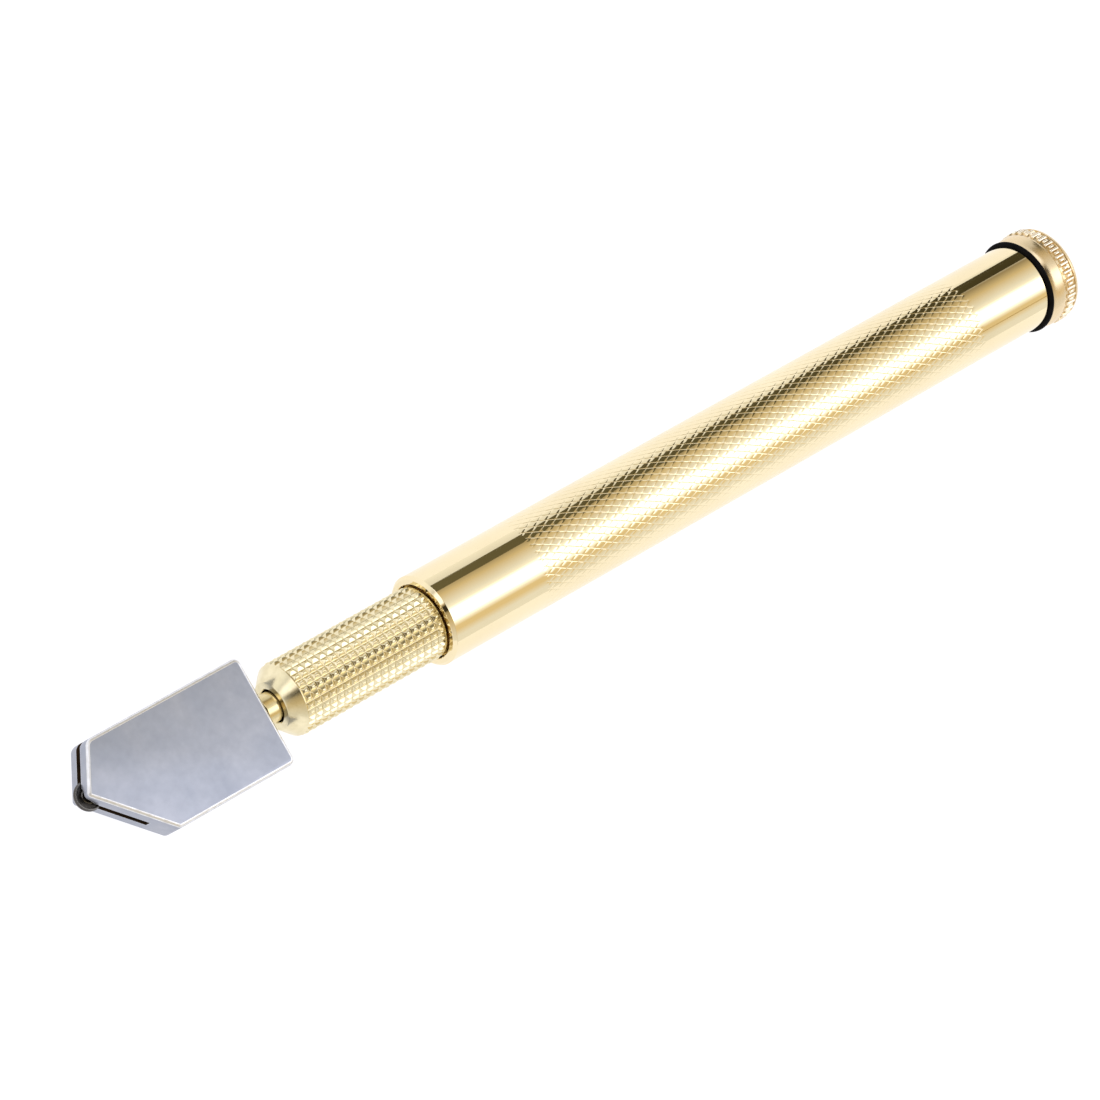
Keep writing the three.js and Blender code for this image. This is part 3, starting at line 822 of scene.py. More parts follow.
class CUTTER_OT_barrel(Operator):
    """Build the polished tube with its band of diamond knurling"""

    bl_idname = "cutter.barrel"
    bl_label = "Barrel"

    def execute(self, context):
        sizes = context.scene.cutter_barrel
        start = TUBE_START + sizes.plain_rear
        end = TUBE_END - sizes.plain_front
        runout = 0.3 * MM
        lip = 0.15 * MM
        bm = bmesh.new()
        knurl_cell(bm, sizes)
        made = bmesh.ops.duplicate(bm, geom=whole(bm))["geom"]
        shift = Matrix.Translation((sizes.pitch / 2, 0, 0))
        turn = Matrix.Rotation(pi / sizes.starts, 4, "X")
        bmesh.ops.transform(bm, verts=points(made), matrix=shift @ turn)
        along(bm, ceil((end - start) / sizes.pitch) + 2, sizes.pitch)
        bmesh.ops.translate(bm, verts=bm.verts, vec=(start - sizes.pitch, 0, 0))
        around(bm, sizes.starts)
        cut_square(bm, start, end)
        rims = []
        for place, tip, chamfer, way in (
            (start, TUBE_START, sizes.rear_chamfer, -1),
            (end, TUBE_END, sizes.front_chamfer, 1),
        ):
            edges = carry(bm, open_ring(bm, place), [(place + way * runout, sizes.radius)])
            edges = regrid(bm, edges, place + way * 2 * runout, sizes.radius)
            rims += carry(bm, edges, [
                (tip - way * chamfer * 1.15, sizes.radius),
                (tip - way * chamfer, sizes.radius - chamfer * 0.06),
                (tip - way * chamfer * 0.06, sizes.radius - chamfer),
                (tip, sizes.radius - chamfer * 1.15),
                (tip, sizes.bore + lip),
                (tip - way * lip, sizes.bore),
            ])
        bmesh.ops.bridge_loops(bm, edges=rims)
        bmesh.ops.recalc_face_normals(bm, faces=bm.faces)
        piece(bm, "barrel", "polished_brass", "handle", "handle_tube", crease=20)
        return {"FINISHED"}


# ---------------------------------------------------------------- nose


def nose_point(bm, sizes, pitch):
    """One four-sided point of the nose's knurl, with slightly rounded ridges."""
    half_turn = pi / sizes.rows
    side = sizes.root * sin(half_turn)
    level = sizes.root * cos(half_turn)
    valley = 0.03 * MM
    tip = 0.06 * MM
    ridge = 0.035 * MM
    middle = Vector((pitch / 2, 0, level))
    grid = bmesh.ops.create_grid(bm, x_segments=1, y_segments=1, size=0.5)
    bmesh.ops.scale(bm, verts=grid["verts"], vec=(pitch, 2 * side, 1))
    bmesh.ops.translate(bm, verts=grid["verts"], vec=middle)
    bmesh.ops.inset_individual(bm, faces=bm.faces[:], thickness=valley, use_even_offset=True)
    top = min(bm.faces, key=lambda face: (face.calc_center_median() - middle).length)
    rise = sizes.crest - level
    width = side - valley - tip
    for share, climb in ((0.45, 0.58), (0.55, 0.42)):
        bmesh.ops.inset_individual(
            bm, faces=[top], thickness=width * share, depth=rise * climb, use_even_offset=True
        )
    ridges = [edge for edge in bm.edges if edge.is_manifold and edge.calc_face_angle() > radians(25)]
    bmesh.ops.bevel(
        bm, geom=ridges, offset=ridge, segments=1, profile=0.5, affect="EDGES", material=-1,
        clamp_overlap=True,
    )


class CUTTER_OT_nose(Operator):
    """Build the nose: knurled in square points, with a cone in front and a threaded tail"""

    bl_idname = "cutter.nose"
    bl_label = "Nose"

    def execute(self, context):
        sizes = context.scene.cutter_nose
        start = TUBE_END + sizes.shoulder
        end = NOSE_END - sizes.cone
        pitch = (end - start) / sizes.rings
        bm = bmesh.new()
        nose_point(bm, sizes, pitch)
        along(bm, sizes.rings, pitch)
        bmesh.ops.translate(bm, verts=bm.verts, vec=(start, 0, 0))
        around(bm, sizes.rows)
        bmesh.ops.rotate(bm, verts=bm.verts, cent=(0, 0, 0), matrix=Matrix.Rotation(-sizes.turn, 3, "X"))

        brow = sizes.root + 0.2 * MM  # where the cone meets the knurl
        step = 0.06 * MM
        chamfer = 0.1 * MM
        front = regrid(bm, open_ring(bm, end), end + step, brow)
        bore = carry(bm, front, [
            (end + 2 * step, brow),
            (NOSE_END - chamfer, sizes.face + chamfer * 0.9),
            (NOSE_END, sizes.face - chamfer * 0.4),
            (NOSE_END, sizes.hole + 1.5 * chamfer),
            (NOSE_END - 1.5 * chamfer, sizes.hole),
            (NOSE_END - sizes.bearing, sizes.hole),
            (NOSE_END - sizes.bearing, sizes.chamber),
            (NOSE_START, sizes.chamber),
            (NOSE_START, sizes.thread - sizes.thread_depth - chamfer),
        ])

        crease = sizes.root + 0.16 * MM
        ledge = sizes.root - 0.15 * MM
        relief_x = start - 0.6 * MM
        neck = sizes.thread - sizes.thread_depth
        rear = regrid(bm, open_ring(bm, start), start - 0.03 * MM, crease)
        rear = carry(bm, rear, [
            (TUBE_END + TOUCH, crease - 0.04 * MM), (TUBE_END + TOUCH, ledge), (start, ledge),
            (start, neck - chamfer), (relief_x, neck - chamfer),
        ])

        tail = bmesh.new()
        thread(tail, NOSE_START + 0.4 * MM, relief_x - 0.3 * MM, neck, sizes.thread, sizes.thread_pitch)
        tail_start = NOSE_START + chamfer
        tail_end = relief_x - chamfer
        carry(tail, open_ring(tail, NOSE_START), [(tail_start, neck - chamfer)])
        carry(tail, open_ring(tail, relief_x), [(tail_end, neck - chamfer)])
        join(bm, tail)
        close_ring(bm, bore, tail_start)
        close_ring(bm, rear, tail_end)
        bmesh.ops.recalc_face_normals(bm, faces=bm.faces)
        piece(bm, "nose", "knurled_brass", "handle", "nose_collar", crease=16)
        return {"FINISHED"}


# ---------------------------------------------------------------- cap


def cap_ribs(bm, sizes):
    """Two neighbouring ribs of the cap's rim, one along its whole width and one short."""
    valley = sizes.crest - sizes.rib
    half_turn = pi / sizes.ribs / 2
    margin = 0.12 * MM
    short = 0.52 * MM
    splits = [0, margin, short, sizes.rim - short, sizes.rim - margin, sizes.rim]
    for turn, raised in ((half_turn, (1, 2, 3)), (-half_turn, (2,))):
        low, high = [
            [bm.verts.new((sizes.dome + x, valley * sin(side), valley * cos(side))) for x in splits]
            for side in (turn - half_turn, turn + half_turn)
        ]
        strip = [
            bm.faces.new((low[i], low[i + 1], high[i + 1], high[i])) for i in range(len(splits) - 1)
        ]
        bmesh.ops.recalc_face_normals(bm, faces=strip)
        for face in strip:
            if face.normal.dot(Vector((0, sin(turn), cos(turn)))) < 0:
                face.normal_flip()
        for width, climb in ((0.09 * MM, 0.62), (0.07 * MM, 0.27), (0.06 * MM, 0.11)):
            bmesh.ops.inset_region(
                bm, faces=[strip[i] for i in raised], thickness=width, depth=sizes.rib * climb,
                use_even_offset=True, use_boundary=True,
            )
    bmesh.ops.remove_doubles(bm, verts=bm.verts, dist=MERGE)


class CUTTER_OT_cap(Operator):
    """Build the ribbed screw cap with its threaded plug"""

    bl_idname = "cutter.cap"
    bl_label = "Cap"

    def execute(self, context):
        sizes = context.scene.cutter_cap
        valley = sizes.crest - sizes.rib
        bm = bmesh.new()
        cap_ribs(bm, sizes)
        around(bm, sizes.ribs)

        dome_start = sizes.dome - 0.08 * MM
        dome_edge = valley + 0.14 * MM
        dish_edge = 2.2 * MM
        dish = 0.08 * MM
        rear = carry(bm, open_ring(bm, sizes.dome), [(sizes.dome - 0.03 * MM, valley - 0.02 * MM)])
        rear = regrid(bm, rear, dome_start, dome_edge)
        rear = carry(bm, rear, self.dome_curve(dome_start, dome_edge, sizes.butt) + [
            (0, dish_edge), (dish, dish_edge - 0.2 * MM), (dish, 0.4 * MM),
        ])
        close_off(bm, rear)

        rim_end = sizes.dome + sizes.rim
        neck = sizes.thread - sizes.thread_depth
        undercut = neck - 0.1 * MM
        plug_start = sizes.face + 0.9 * MM
        front = carry(bm, open_ring(bm, rim_end), [(rim_end + 0.03 * MM, valley - 0.08 * MM)])
        front = regrid(bm, front, rim_end + 0.1 * MM, valley - 0.1 * MM)
        front = carry(bm, front, [
            (rim_end + 0.16 * MM, sizes.shoulder - 0.05 * MM),
            *self.shoulder_curve(rim_end + 0.24 * MM, sizes),
            (sizes.face, undercut),
            (plug_start - 0.3 * MM, undercut),
        ])

        plug = bmesh.new()
        thread(plug, plug_start, CAP_END - 0.6 * MM, neck, sizes.thread, sizes.thread_pitch)
        carry(plug, open_ring(plug, plug_start), [(plug_start - 0.2 * MM, undercut)])
        close_off(plug, carry(plug, open_ring(plug, CAP_END), [
            (CAP_END - 0.25 * MM, neck), (CAP_END, neck - 0.3 * MM),
        ]))
        join(bm, plug)
        close_ring(bm, front, plug_start - 0.2 * MM)
        bmesh.ops.recalc_face_normals(bm, faces=bm.faces)
        piece(bm, "screw_cap", "satin_brass", "cap", "end_cap", crease=50)
        return {"FINISHED"}

    def dome_curve(self, start, edge, butt, steps=10):
        """Points round a quarter of an oval, from the rim to the flat butt."""
        turns = [pi / 2 * i / steps for i in range(1, steps + 1)]
        return [(start * (1 - sin(turn)), butt + (edge - butt) * cos(turn)) for turn in turns]

    def shoulder_curve(self, start, sizes, steps=12):
        """Points down the shoulder, which rounds over more and more towards the seal."""
        end = radians(72)
        run = (sizes.face - start) / sin(end)
        drop = sizes.shoulder_drop / (1 - cos(end))
        turns = [end * i / steps for i in range(steps + 1)]
        return [(start + run * sin(turn), sizes.shoulder - drop * (1 - cos(turn))) for turn in turns]


# ---------------------------------------------------------------- seals


class CUTTER_OT_seals(Operator):
    """Build the two rubber rings and the fibre gasket"""

    bl_idname = "cutter.seals"
    bl_label = "Seals"

    def execute(self, context):
        start, end = span("cap_o_ring")
        half = (end - start) / 2
        outer = reach("cap_o_ring")
        inner = outer - 2.05 * MM
        middle = start + half
        crown = half_round(middle, outer, half)
        root = [(2 * middle - x, inner + outer - radius) for x, radius in crown]
        bm = bmesh.new()
        lathe(bm, crown + root, FINE_ROUND)
        piece(bm, "cap_seal_ring", "black_rubber", "cap_seal", "cap_o_ring")

        start, end = span("stem_o_ring")
        outer = reach("stem_o_ring")
        half = (end - start) / 2
        thick = (outer - 2.2 * MM) / 2
        steps = 16
        section = [
            (start + half - half * cos(FULL * i / steps), outer - thick + thick * sin(FULL * i / steps))
            for i in range(steps)
        ]
        bm = bmesh.new()
        lathe(bm, section, ROUND)
        piece(bm, "stem_seal_ring", "black_rubber", "handle", "stem_o_ring")

        inner = 4.1 * MM
        outer = inner + 0.45 * MM
        washer(
            "nose_washer", "nose_gasket", "pressed_fibre", "handle", inner, outer, rounding=0.05 * MM
        )
        return {"FINISHED"}


# ---------------------------------------------------------------- inserts, seats and small turned pieces


def threaded_sleeve(name, node, minor, depth, pitch):
    """A brass sleeve with an inner thread that matches a threaded plug of the same pitch."""
    start, end = span(node)
    outer = reach(node)
    lead = 0.35 * MM
    chamfer = 0.2 * MM
    bm = bmesh.new()
    thread(bm, start + lead, end - lead, minor, minor + depth, pitch)
    mouth = minor + depth + 0.05 * MM
    low = carry(bm, open_ring(bm, start), [(start, mouth)])
    high = carry(bm, open_ring(bm, end), [
        (end, mouth), (end, outer - chamfer), (end - chamfer, outer), (start + chamfer, outer),
        (start, outer - chamfer),
    ])
    bmesh.ops.bridge_loops(bm, edges=low + high)
    bmesh.ops.recalc_face_normals(bm, faces=bm.faces)
    piece(bm, name, "plain_brass", "handle", node, crease=30)


class CUTTER_OT_inserts(Operator):
    """Build the two threaded sleeves that are pressed into the tube"""

    bl_idname = "cutter.inserts"
    bl_label = "Inserts"

    def execute(self, context):
        cap = context.scene.cutter_cap
        nose = context.scene.cutter_nose
        play = 0.14 * MM
        threaded_sleeve(
            "rear_sleeve", "rear_insert", cap.thread - cap.thread_depth + play, cap.thread_depth,
            cap.thread_pitch,
        )
        threaded_sleeve(
            "front_sleeve", "front_insert", nose.thread - nose.thread_depth + play, nose.thread_depth,
            nose.thread_pitch,
        )
        return {"FINISHED"}


class CUTTER_OT_valve(Operator):
    """Build the valve: seat, ball, spring and the ring that the spring stands on"""

    bl_idname = "cutter.valve"
    bl_label = "Valve"

    def execute(self, context):
        start, end = span("valve_seat")
        outer = reach("valve_seat")
        hole = 1.3 * MM
        cone = 0.35 * MM
        bm = bmesh.new()
        lathe(bm, [(start, hole + cone), (start, outer), (end, outer), (end, hole), (start + cone, hole)])
        soften(bm, 0.08 * MM)
        piece(bm, "valve_seat_ring", "plain_brass", "handle", "valve_seat")

        radius = (BALL_HIGH.x - BALL_LOW.x) / 2
        bm = bmesh.new()
        place = Matrix.Translation(BALL_CENTRE) @ Matrix.Rotation(pi / 2, 4, "Y")
        bmesh.ops.create_uvsphere(
            bm, u_segments=SMALL_ROUND, v_segments=SMALL_ROUND // 2, radius=radius, matrix=place
        )
        soften(bm, 0.02 * MM, above=radians(60))
        piece(bm, "valve_ball_bearing", "bright_steel", "valve", "valve_ball")

        start, end = span("spring_seat")
        outer = reach("spring_seat")
        bore = 1.1 * MM
        step = 0.5 * MM
        bm = bmesh.new()
        lathe(bm, [
            (start, bore + step), (start, outer), (end, outer), (end, bore), (start + step, bore),
            (start + step, bore + step),
        ])
        soften(bm, 0.1 * MM)
        piece(bm, "spring_seat_ring", "plain_brass", "handle", "spring_seat")

        self.spring()
        return {"FINISHED"}

    def spring(self):
        """Winds the spring, with a closed turn at each end."""
        low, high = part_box("valve_spring")
        wire_radius = 0.25 * MM
        wire_steps = 12
        mean = max(high.y, high.z) - wire_radius
        closed = 2.4 * wire_radius
        start = low.x + wire_radius
        end = high.x - wire_radius
        turns = 6
        per_turn = 40
        bm = bmesh.new()
        place = Matrix.Translation((start, 0, mean)) @ Matrix.Rotation(pi / 2, 4, "X")
        last = [item for kind in disc(bm, place, wire_radius, wire_steps) for item in kind]
        active = end - start - 2 * closed
        for count, rise in ((1, closed), (turns, active), (1, closed)):
            steps = count * per_turn
            last = bmesh.ops.spin(
                bm, geom=last, cent=(0, 0, 0), axis=AXIS, dvec=(rise / steps, 0, 0), angle=count * FULL,
                steps=steps,
            )["geom_last"]
        bmesh.ops.recalc_face_normals(bm, faces=bm.faces)
        spring = piece(bm, "valve_coil", "bright_steel", "handle", "valve_spring")
        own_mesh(spring)


# ---------------------------------------------------------------- stem and what is on it


class CUTTER_OT_stem(Operator):
    """Build the stem with its oil channel, its clip, washer and wick"""

    bl_idname = "cutter.stem"
    bl_label = "Stem"

    def execute(self, context):
        radius = reach("head_stem")
        clip_start, clip_end = span("retaining_ring")
        tenon_start = HEAD_LOW.x - 0.2 * MM
        tenon = 1.8 * MM
        pin = 0.8 * MM
        channel = 0.9 * MM
        rear = clip_start - 1.9 * MM
        groove = 1.6 * MM
        gap = 0.15 * MM
        taper = 0.6 * MM
        bm = bmesh.new()
        lathe(bm, [
            (STEM_START, 0), (STEM_START, pin), (rear - taper, pin), (rear, radius),
            (clip_start - gap, radius), (clip_start - gap, groove), (clip_end + gap, groove),
            (clip_end + gap, radius), (tenon_start, radius), (tenon_start, tenon), (STEM_END, tenon),
            (STEM_END, channel), (rear + taper, channel), (rear + taper, 0),
        ])
        soften(bm, 0.08 * MM)
        feed_hole = 0.35 * MM
        feed = bar(-2 * radius, 2 * radius, feed_hole, SMALL_ROUND // 2)
        bm = carve(bm, [stand_up(feed, (rear + 1.0 * MM, 0, 0))])
        piece(bm, "stem", "plain_brass", "head", "head_stem")

        washer(
            "stem_washer", "thrust_washer", "bright_steel", "head", radius + gap,
            reach("thrust_washer"), rounding=0.06 * MM,
        )
        self.clip(clip_start, clip_end)
        self.wick()
        return {"FINISHED"}

    def clip(self, start, end):
        """Bends the snap ring, open on one side."""
        outer = reach("retaining_ring")
        inner = 1.75 * MM
        opening = radians(44)
        bm = bmesh.new()
        corners = [(start, inner), (start, outer), (end, outer), (end, inner)]
        verts = [bm.verts.new((x, 0, radius)) for x, radius in corners]
        bm.faces.new(verts)
        turn = Matrix.Rotation(-pi / 2 + opening / 2, 3, "X")
        bmesh.ops.rotate(bm, verts=verts, cent=(0, 0, 0), matrix=turn)
        bmesh.ops.spin(
            bm, geom=whole(bm), cent=(0, 0, 0), axis=AXIS, dvec=(0, 0, 0), angle=FULL - opening, steps=ROUND
        )
        bmesh.ops.recalc_face_normals(bm, faces=bm.faces)
        soften(bm, 0.07 * MM)
        piece(bm, "snap_ring", "bright_steel", "head", "retaining_ring")

    def wick(self):
        """Twists three cotton strands together."""
        start, end = span("oil_wick")
        outer = reach("oil_wick")
        strand = outer * 0.5
        strands = 3
        sides = 14
        lay = 3.4 * MM  # length of one turn of the twist
        turns = (end - start) / lay
        per_turn = 24
        steps = ceil(turns * per_turn)
        bm = bmesh.new()
        for i in range(strands):
            place = (
                Matrix.Rotation(FULL * i / strands, 4, "X")
                @ Matrix.Translation((start, 0, outer - strand))
                @ Matrix.Rotation(pi / 2, 4, "Y")
            )
            geom = [item for kind in disc(bm, place, strand, sides) for item in kind]
            bmesh.ops.spin(
                bm, geom=geom, cent=(0, 0, 0), axis=AXIS, dvec=((end - start) / steps, 0, 0),
                angle=turns * FULL, steps=steps,
            )
        bmesh.ops.recalc_face_normals(bm, faces=bm.faces)
        piece(bm, "wick", "twisted_cotton", "head", "oil_wick")


# ---------------------------------------------------------------- head


def head_plate(sizes):
    """The five-sided plate, with round corners and a rounded rim, as a bmesh."""
    half = (HEAD_HIGH.y - HEAD_LOW.y) / 2
    tip_radius = 0.6 * MM
    back_radius = 0.9 * MM
    lean = (sizes.steep + sizes.shallow) / 2
    tip_x = HEAD_HIGH.x + tip_radius / sin(lean) - tip_radius
    steep_x = tip_x - (half + sizes.point_y) / tan(sizes.steep)
    shallow_x = tip_x - (half - sizes.point_y) / tan(sizes.shallow)
    corners = [
        (HEAD_LOW.x, -half, back_radius), (steep_x, -half, 1.2 * MM), (tip_x, sizes.point_y, tip_radius),
        (shallow_x, half, 0.8 * MM), (HEAD_LOW.x, half, back_radius),
    ]
    bm = bmesh.new()
    base = bm.faces.new([bm.verts.new((x, y, HEAD_LOW.z)) for x, y, _ in corners])
    up = bmesh.ops.extrude_face_region(bm, geom=[base])["geom"]
    bmesh.ops.translate(bm, verts=points(up), vec=(0, 0, HEAD_HIGH.z - HEAD_LOW.z))
    for x, y, radius in corners:
        upright = next(
            edge for edge in bm.edges
            if all(abs(v.co.x - x) + abs(v.co.y - y) < MERGE * 10 for v in edge.verts)
        )
        bmesh.ops.bevel(
            bm, geom=[upright], offset=radius * tan(upright.calc_face_angle() / 2), segments=10,
            profile=0.5, affect="EDGES", material=-1, clamp_overlap=False,
        )
    rim = [
        edge for edge in bm.edges
        if abs(edge.verts[0].co.z - edge.verts[1].co.z) < MERGE and edge.calc_face_angle() > 1
    ]
    bmesh.ops.bevel(
        bm, geom=rim, offset=sizes.bevel, segments=4, profile=0.5, affect="EDGES", material=-1,
        clamp_overlap=False,
    )
    bmesh.ops.recalc_face_normals(bm, faces=bm.faces)
    return bm


class CUTTER_OT_head(Operator):
    """Build the flat head with its saw slot and wheel pocket"""

    bl_idname = "cutter.head"
    bl_label = "Head"

    def execute(self, context):
        sizes = context.scene.cutter_head
        saw_place = Vector((HEAD_LOW.x + sizes.slot_start + sizes.saw, sizes.point_y + sizes.saw_offset, 0))
        saw = bar(-sizes.slot / 2, sizes.slot / 2, sizes.saw, 2 * FINE_ROUND)
        soften(saw, 0.12 * MM)
        stand_up(saw, saw_place)

        past_tip = HEAD_HIGH.x + 0.5 * MM
        flare_start = HEAD_HIGH.x - 1.2 * MM
        pocket = bar(WHEEL_CENTRE.x - 1.2 * MM, HEAD_HIGH.x + 2 * MM, sizes.pocket)
        flare = bmesh.new()
        lathe(flare, [
            (flare_start, 0), (flare_start, sizes.pocket - 0.1 * MM),
            (past_tip, sizes.pocket + 0.24 * MM), (past_tip, 0),
        ])
        for tool in (pocket, flare):
            bmesh.ops.translate(tool, verts=tool.verts, vec=(0, sizes.point_y, 0))

        front_wall = 0.8 * MM
        axle_hole = bar(-4 * MM, HEAD_HIGH.z - front_wall, 0.6 * MM)
        stand_up(axle_hole, (WHEEL_CENTRE.x, WHEEL_CENTRE.y, 0))
        stem_bore = bar(HEAD_LOW.x - 1 * MM, HEAD_LOW.x + sizes.socket_depth, sizes.socket)
        oil_way = bar(HEAD_LOW.x, HEAD_LOW.x + sizes.oil_depth, sizes.oil_way)
        bm = carve(head_plate(sizes), [saw, pocket, flare, axle_hole, stem_bore, oil_way])
        self.sort_finishes(bm, sizes, saw_place.xy)
        made = piece(bm, "head_plate", "satin_nickel", "head", "head_body", crease=30)
        made.data.materials.append(finish("oily_steel"))
        made.data.materials.append(finish("rubbed_nickel"))
        return {"FINISHED"}

    def sort_finishes(self, bm, sizes, saw_place):
        """Gives the walls of the slot and the pocket the finish of painted shade, and the rounded rim the
        pale finish of wear and painted highlight.
        """
        pocket_start = WHEEL_CENTRE.x - 1.5 * MM
        upright, level = 0.2, 0.995  # heights of a normal that a bevel's lies between
        for face in bm.faces:
            places = [vert.co for vert in face.verts]
            in_slot = all(
                abs(co.z) <= sizes.slot / 2 + MERGE and (co.xy - saw_place).length < sizes.saw + TOUCH
                for co in places
            )
            in_pocket = all(
                co.x > pocket_start
                and Vector((co.y - sizes.point_y, co.z)).length < sizes.pocket + MERGE
                for co in places
            )
            # painted shade: faces inside the slot and the pocket get the near-black finish
            if in_slot or in_pocket:
                face.material_index = 1
            # painted highlight: the rounded rim gets the pale finish
            elif upright < abs(face.normal.z) < level and all(abs(co.z) > sizes.slot for co in places):
                face.material_index = 2


class CUTTER_OT_wheel(Operator):
    """Build the cutting wheel and its axle"""

    bl_idname = "cutter.wheel"
    bl_label = "Wheel"

    def execute(self, context):
        sizes = context.scene.cutter_head
        half = (WHEEL_HIGH.z - WHEEL_LOW.z) / 2
        radius = (WHEEL_HIGH.x - WHEEL_LOW.x) / 2
        honed = 0.66  # how much of the height that the angle gives is honed
        shoulder = radius - half * tan(sizes.hone) * honed
        bore = 0.55 * MM
        chamfer = 0.06 * MM
        dish = 0.06 * MM
        slope = 0.1 * MM
        hub = bore + 0.4 * MM
        band = shoulder - 0.15 * MM
        bm = bmesh.new()
        lathe(bm, [
            (-half, bore + chamfer), (-half, hub), (-half + dish, hub + slope), (-half + dish, band - slope),
            (-half, band), (-half, shoulder), (0, radius), (half, shoulder), (half, band),
            (half - dish, band - slope), (half - dish, hub + slope), (half, hub), (half, bore + chamfer),
            (half - chamfer, bore), (-half + chamfer, bore),
        ])
        stand_up(bm, WHEEL_CENTRE)
        piece(bm, "wheel", "ground_carbide", "wheel", "cutting_wheel", crease=20)

        low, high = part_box("wheel_axle")
        axle = (high.x - low.x) / 2
        bm = bar(low.z, high.z, axle)
        soften(bm, 0.1 * MM)
        stand_up(bm, (WHEEL_CENTRE.x, WHEEL_CENTRE.y, 0))
        piece(bm, "axle", "bright_steel", "head", "wheel_axle")
        return {"FINISHED"}


# ---------------------------------------------------------------- studio


def stage_mesh(bm, name, material):
    """Makes a mesh part of the studio."""
    mesh = bpy.data.meshes.new(name)
    bm.to_mesh(mesh)
    bm.free()
    mesh.materials.append(material)
    made = bpy.data.objects.new(name, mesh)
    bpy.context.scene.collection.objects.link(made)
    return made


def glow(name, stops, across, strength):
    """Cloth lit from behind, brighter and dimmer by turns across one direction of its own UV."""
    material = bpy.data.materials.new(name)
    material.use_nodes = True
    tree = material.node_tree
    tree.nodes.clear()
    place = add(tree, "ShaderNodeUVMap", uv_map="cloth").outputs["UV"]
    apart = add(tree, "ShaderNodeSeparateXYZ", {0: place})
    ramp = add(tree, "ShaderNodeValToRGB", {"Fac": apart.outputs[across]})
    bands = ramp.color_ramp.elements
    brightest = max(max(tint) for _, tint in stops)
    for i, (spot, tint) in enumerate(stops):
        band = bands[i] if i < 2 else bands.new(spot)
        band.position = spot
        band.color = (*(part / brightest for part in tint), 1)
    light = add(
        tree, "ShaderNodeEmission", {"Color": ramp.outputs["Color"], "Strength": brightest * strength}
    )
    add(tree, "ShaderNodeOutputMaterial", {"Surface": light.outputs[0]})
    return material


def tent_wall(radius, low, high, start, end, steps):
    """A stretch of cylinder round the handle's axis, with its turn and its length in a UV map."""
    bm = bmesh.new()
    cloth = bm.loops.layers.uv.new("cloth")
    verts = [bm.verts.new((x, radius * sin(low), radius * cos(low))) for x in (start, end)]
    edge = bm.edges.new(verts)
    bmesh.ops.spin(
        bm, geom=verts + [edge], cent=(0, 0, 0), axis=AXIS, dvec=(0, 0, 0), angle=low - high, steps=steps
    )
    for face in bm.faces:
        turns = [0.5 + sin_angle(loop.vert.co) / pi for loop in face.loops]
        for loop, turn in zip(face.loops, turns):
            loop[cloth].uv = (turn, (loop.vert.co.x - start) / (end - start))
    return bm


def sin_angle(co):
    """Turn of a point about the axis from straight up, towards +Y, in radians."""
    return Vector((co.z, co.y)).angle_signed(Vector((1, 0)))


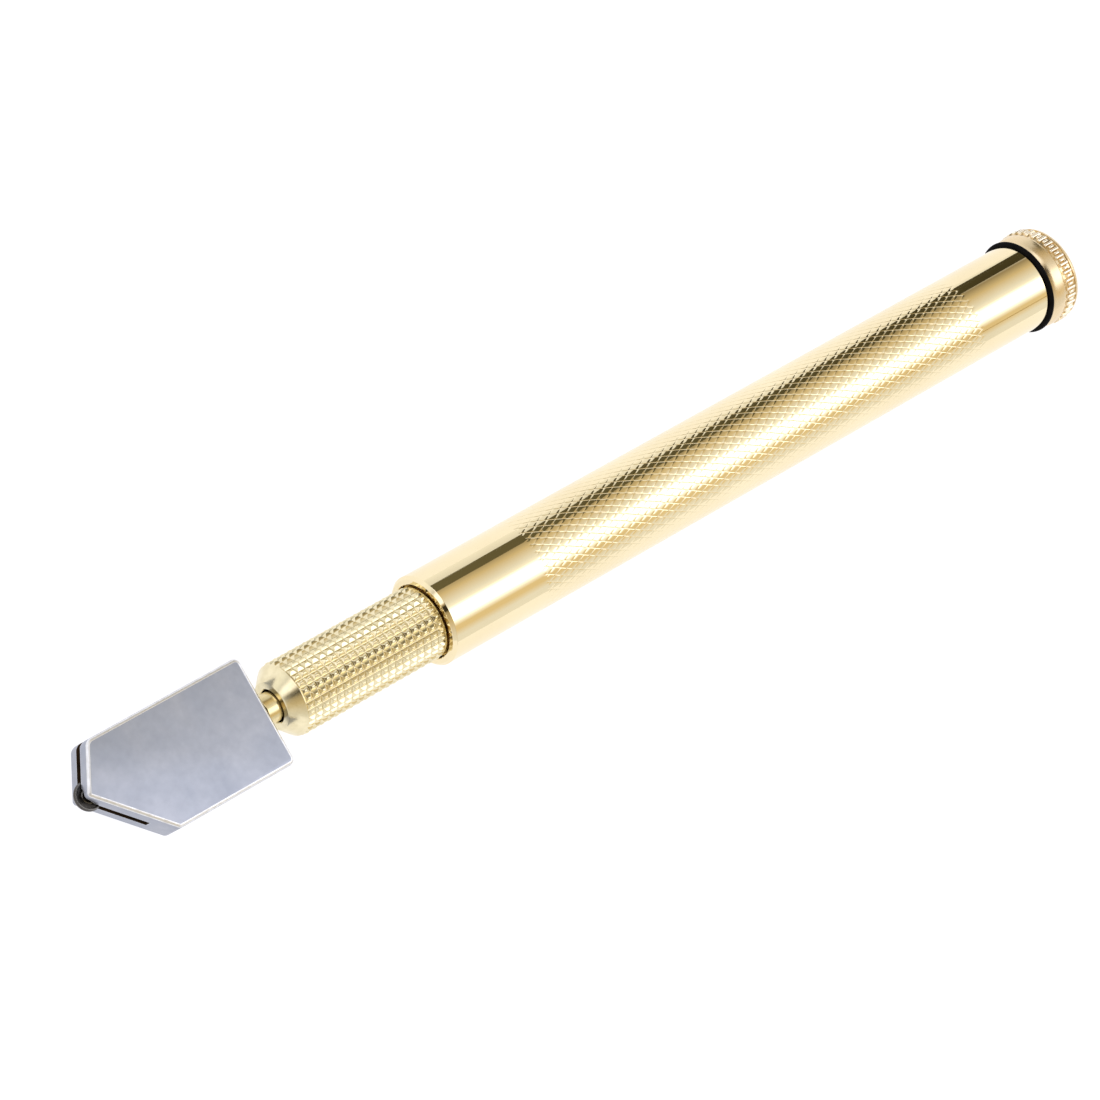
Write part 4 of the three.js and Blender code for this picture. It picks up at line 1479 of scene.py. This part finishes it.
class CUTTER_OT_studio(Operator):
    """Build the light table, the tent of soft light, the dark cards and the camera"""

    bl_idname = "cutter.studio"
    bl_label = "Studio"

    def execute(self, context):
        settings = context.scene.cutter_studio
        self.paper()
        self.tent(settings)
        self.cards(settings)
        self.camera(context.scene, settings)
        self.room(context.scene)
        context.scene.view_settings.view_transform = "Standard"
        return {"FINISHED"}

    def paper(self):
        """Lays the floor just below the object."""
        bm = bmesh.new()
        bmesh.ops.create_grid(bm, x_segments=2, y_segments=2, size=6)
        bmesh.ops.translate(bm, verts=bm.verts, vec=(0, 0, CAD_BOX[0][2] - TOUCH))
        stage_mesh(bm, "floor", finish("light_table"))

    def tent(self, settings):
        """Hangs the tent in two halves: behind the object the bright one, towards the camera the dim one."""
        warm, plain, cool = Vector((1, 0.82, 0.51)), Vector((1, 1, 1)), Vector((1.0, 1.0, 1.06))
        # each band: its turn about the handle in degrees, from straight up towards +Y, and its light
        behind = (
            (-90, plain * 1.02), (-66, plain * 0.82), (-53, warm * 0.34), (-33, warm * 0.72),
            (-8, plain * 0.92), (1, plain * 1.12), (10, cool * 2.2), (31, cool * 2.2), (41, plain * 1.12),
            (49, warm * 0.84), (58, warm * 0.84), (74, plain * 0.91), (90, plain * 0.93),
        )
        towards = (
            (-90, plain * 1.15), (-70, plain * 1.0), (-58, plain * 0.75), (-48, cool * 1.5),
            (-21, cool * 1.5), (-14, warm * 0.5), (-8, warm * 0.04), (7, warm * 0.04), (14, warm * 0.45),
            (40, warm * 0.66), (90, plain * 0.9),
        )
        halves = (
            ("tent_back", behind, -settings.half_length, settings.seam),
            ("tent_front", towards, settings.seam, settings.half_length),
        )
        for name, bands, start, end in halves:
            stops = [(0.5 + turn / 180, tint) for turn, tint in bands]
            cloth = glow(name + "_cloth", stops, "X", settings.light)
            bm = tent_wall(settings.tent, radians(-90), radians(90), start, end, 90)
            stage_mesh(bm, name, cloth).visible_camera = False

    def cards(self, settings):
        """Hangs two dark cards, a broad and a narrow one, that draw long lines on the barrel."""
        # the near and the far end of each card: place along the handle, two turns about it and tint
        self.card(
            "broad_card", settings,
            (-0.36, -64, -43, (0.16, 0.14, 0.075)),
            (-0.80, -90, -62, (0.035, 0.028, 0.010)),
        )
        self.card(
            "narrow_card", settings,
            (-0.62, 57.5, 58.5, (0.62, 0.46, 0.24)),
            (-0.80, 58, 61, (0.40, 0.27, 0.10)),
        )

    def card(self, name, settings, near, far):
        """Hangs one card just inside the tent, between its near end and its far end."""
        inside = settings.tent * 0.97
        bm = bmesh.new()
        cloth = bm.loops.layers.uv.new("cloth")
        low_near, high_near, low_far, high_far = [
            bm.verts.new((end[0], inside * sin(radians(turn)), inside * cos(radians(turn))))
            for end in (near, far) for turn in end[1:3]
        ]
        face = bm.faces.new((low_near, high_near, high_far, low_far))
        for loop in face.loops:
            loop[cloth].uv = (0.5, (loop.vert.co.x - far[0]) / (near[0] - far[0]))
        dark = glow(name + "_cloth", [(0.0, far[3]), (1.0, near[3])], "Y", 1.0)
        stage_mesh(bm, name, dark).visible_camera = False

    def camera(self, scene, settings):
        """Sets the camera over the front of the cutter, looking back along it."""
        place = Vector((0.4596, 0, 0.5450))
        back = Vector((0.5515, 0, 0.834)).normalized()
        up = Vector((-0.4090, -0.8717, 0.2705))
        right = up.cross(back).normalized()
        turn = Matrix((right, back.cross(right), back)).transposed().to_4x4()
        lens = bpy.data.cameras.new("camera")
        lens.lens = settings.lens
        lens.sensor_width = 36
        lens.clip_start = 10 * MM
        view = bpy.data.objects.new("camera", lens)
        view.matrix_world = Matrix.Translation(place) @ turn
        scene.collection.objects.link(view)
        scene.camera = view

    def room(self, scene):
        """Fills the rest of the room with even white light."""
        world = bpy.data.worlds.new("room")
        world.use_nodes = True
        world.node_tree.nodes["Background"].inputs["Color"].default_value = (1, 1, 1, 1)
        world.node_tree.nodes["Background"].inputs["Strength"].default_value = 1.0
        scene.world = world


# ---------------------------------------------------------------- panel and run

OPERATORS = (
    CUTTER_OT_barrel, CUTTER_OT_nose, CUTTER_OT_cap, CUTTER_OT_seals, CUTTER_OT_inserts,
    CUTTER_OT_valve, CUTTER_OT_stem, CUTTER_OT_head, CUTTER_OT_wheel, CUTTER_OT_studio,
)
GROUPS = {
    "cutter_barrel": BarrelSizes,
    "cutter_nose": NoseSizes,
    "cutter_cap": CapSizes,
    "cutter_head": HeadSizes,
    "cutter_finishes": FinishColours,
    "cutter_studio": StudioSettings,
}


class CUTTER_PT_panel(Panel):
    """Lists the sizes and the pieces in the sidebar."""

    bl_idname = "CUTTER_PT_panel"
    bl_label = "Glass Cutter"
    bl_space_type = "VIEW_3D"
    bl_region_type = "UI"
    bl_category = "Glass Cutter"

    def draw(self, context):
        for operator in OPERATORS:
            self.layout.operator(operator.bl_idname)
        for name, group in GROUPS.items():
            box = self.layout.box()
            box.label(text=group.__doc__)
            for prop in group.__annotations__:
                box.prop(getattr(context.scene, name), prop)


def register():
    """Registers the classes and hangs the sizes on the scene."""
    for cls in (*GROUPS.values(), *OPERATORS, CUTTER_PT_panel):
        bpy.utils.register_class(cls)
    for name, group in GROUPS.items():
        setattr(bpy.types.Scene, name, PointerProperty(type=group))


def unregister():
    """Takes everything off again."""
    for name in GROUPS:
        delattr(bpy.types.Scene, name)
    for cls in (CUTTER_PT_panel, *reversed(OPERATORS), *reversed(GROUPS.values())):
        bpy.utils.unregister_class(cls)


def main():
    """Builds every piece in turn."""
    register()
    for operator in OPERATORS:
        group, name = operator.bl_idname.split(".")
        getattr(getattr(bpy.ops, group), name)()


if __name__ == "__main__":
    main()
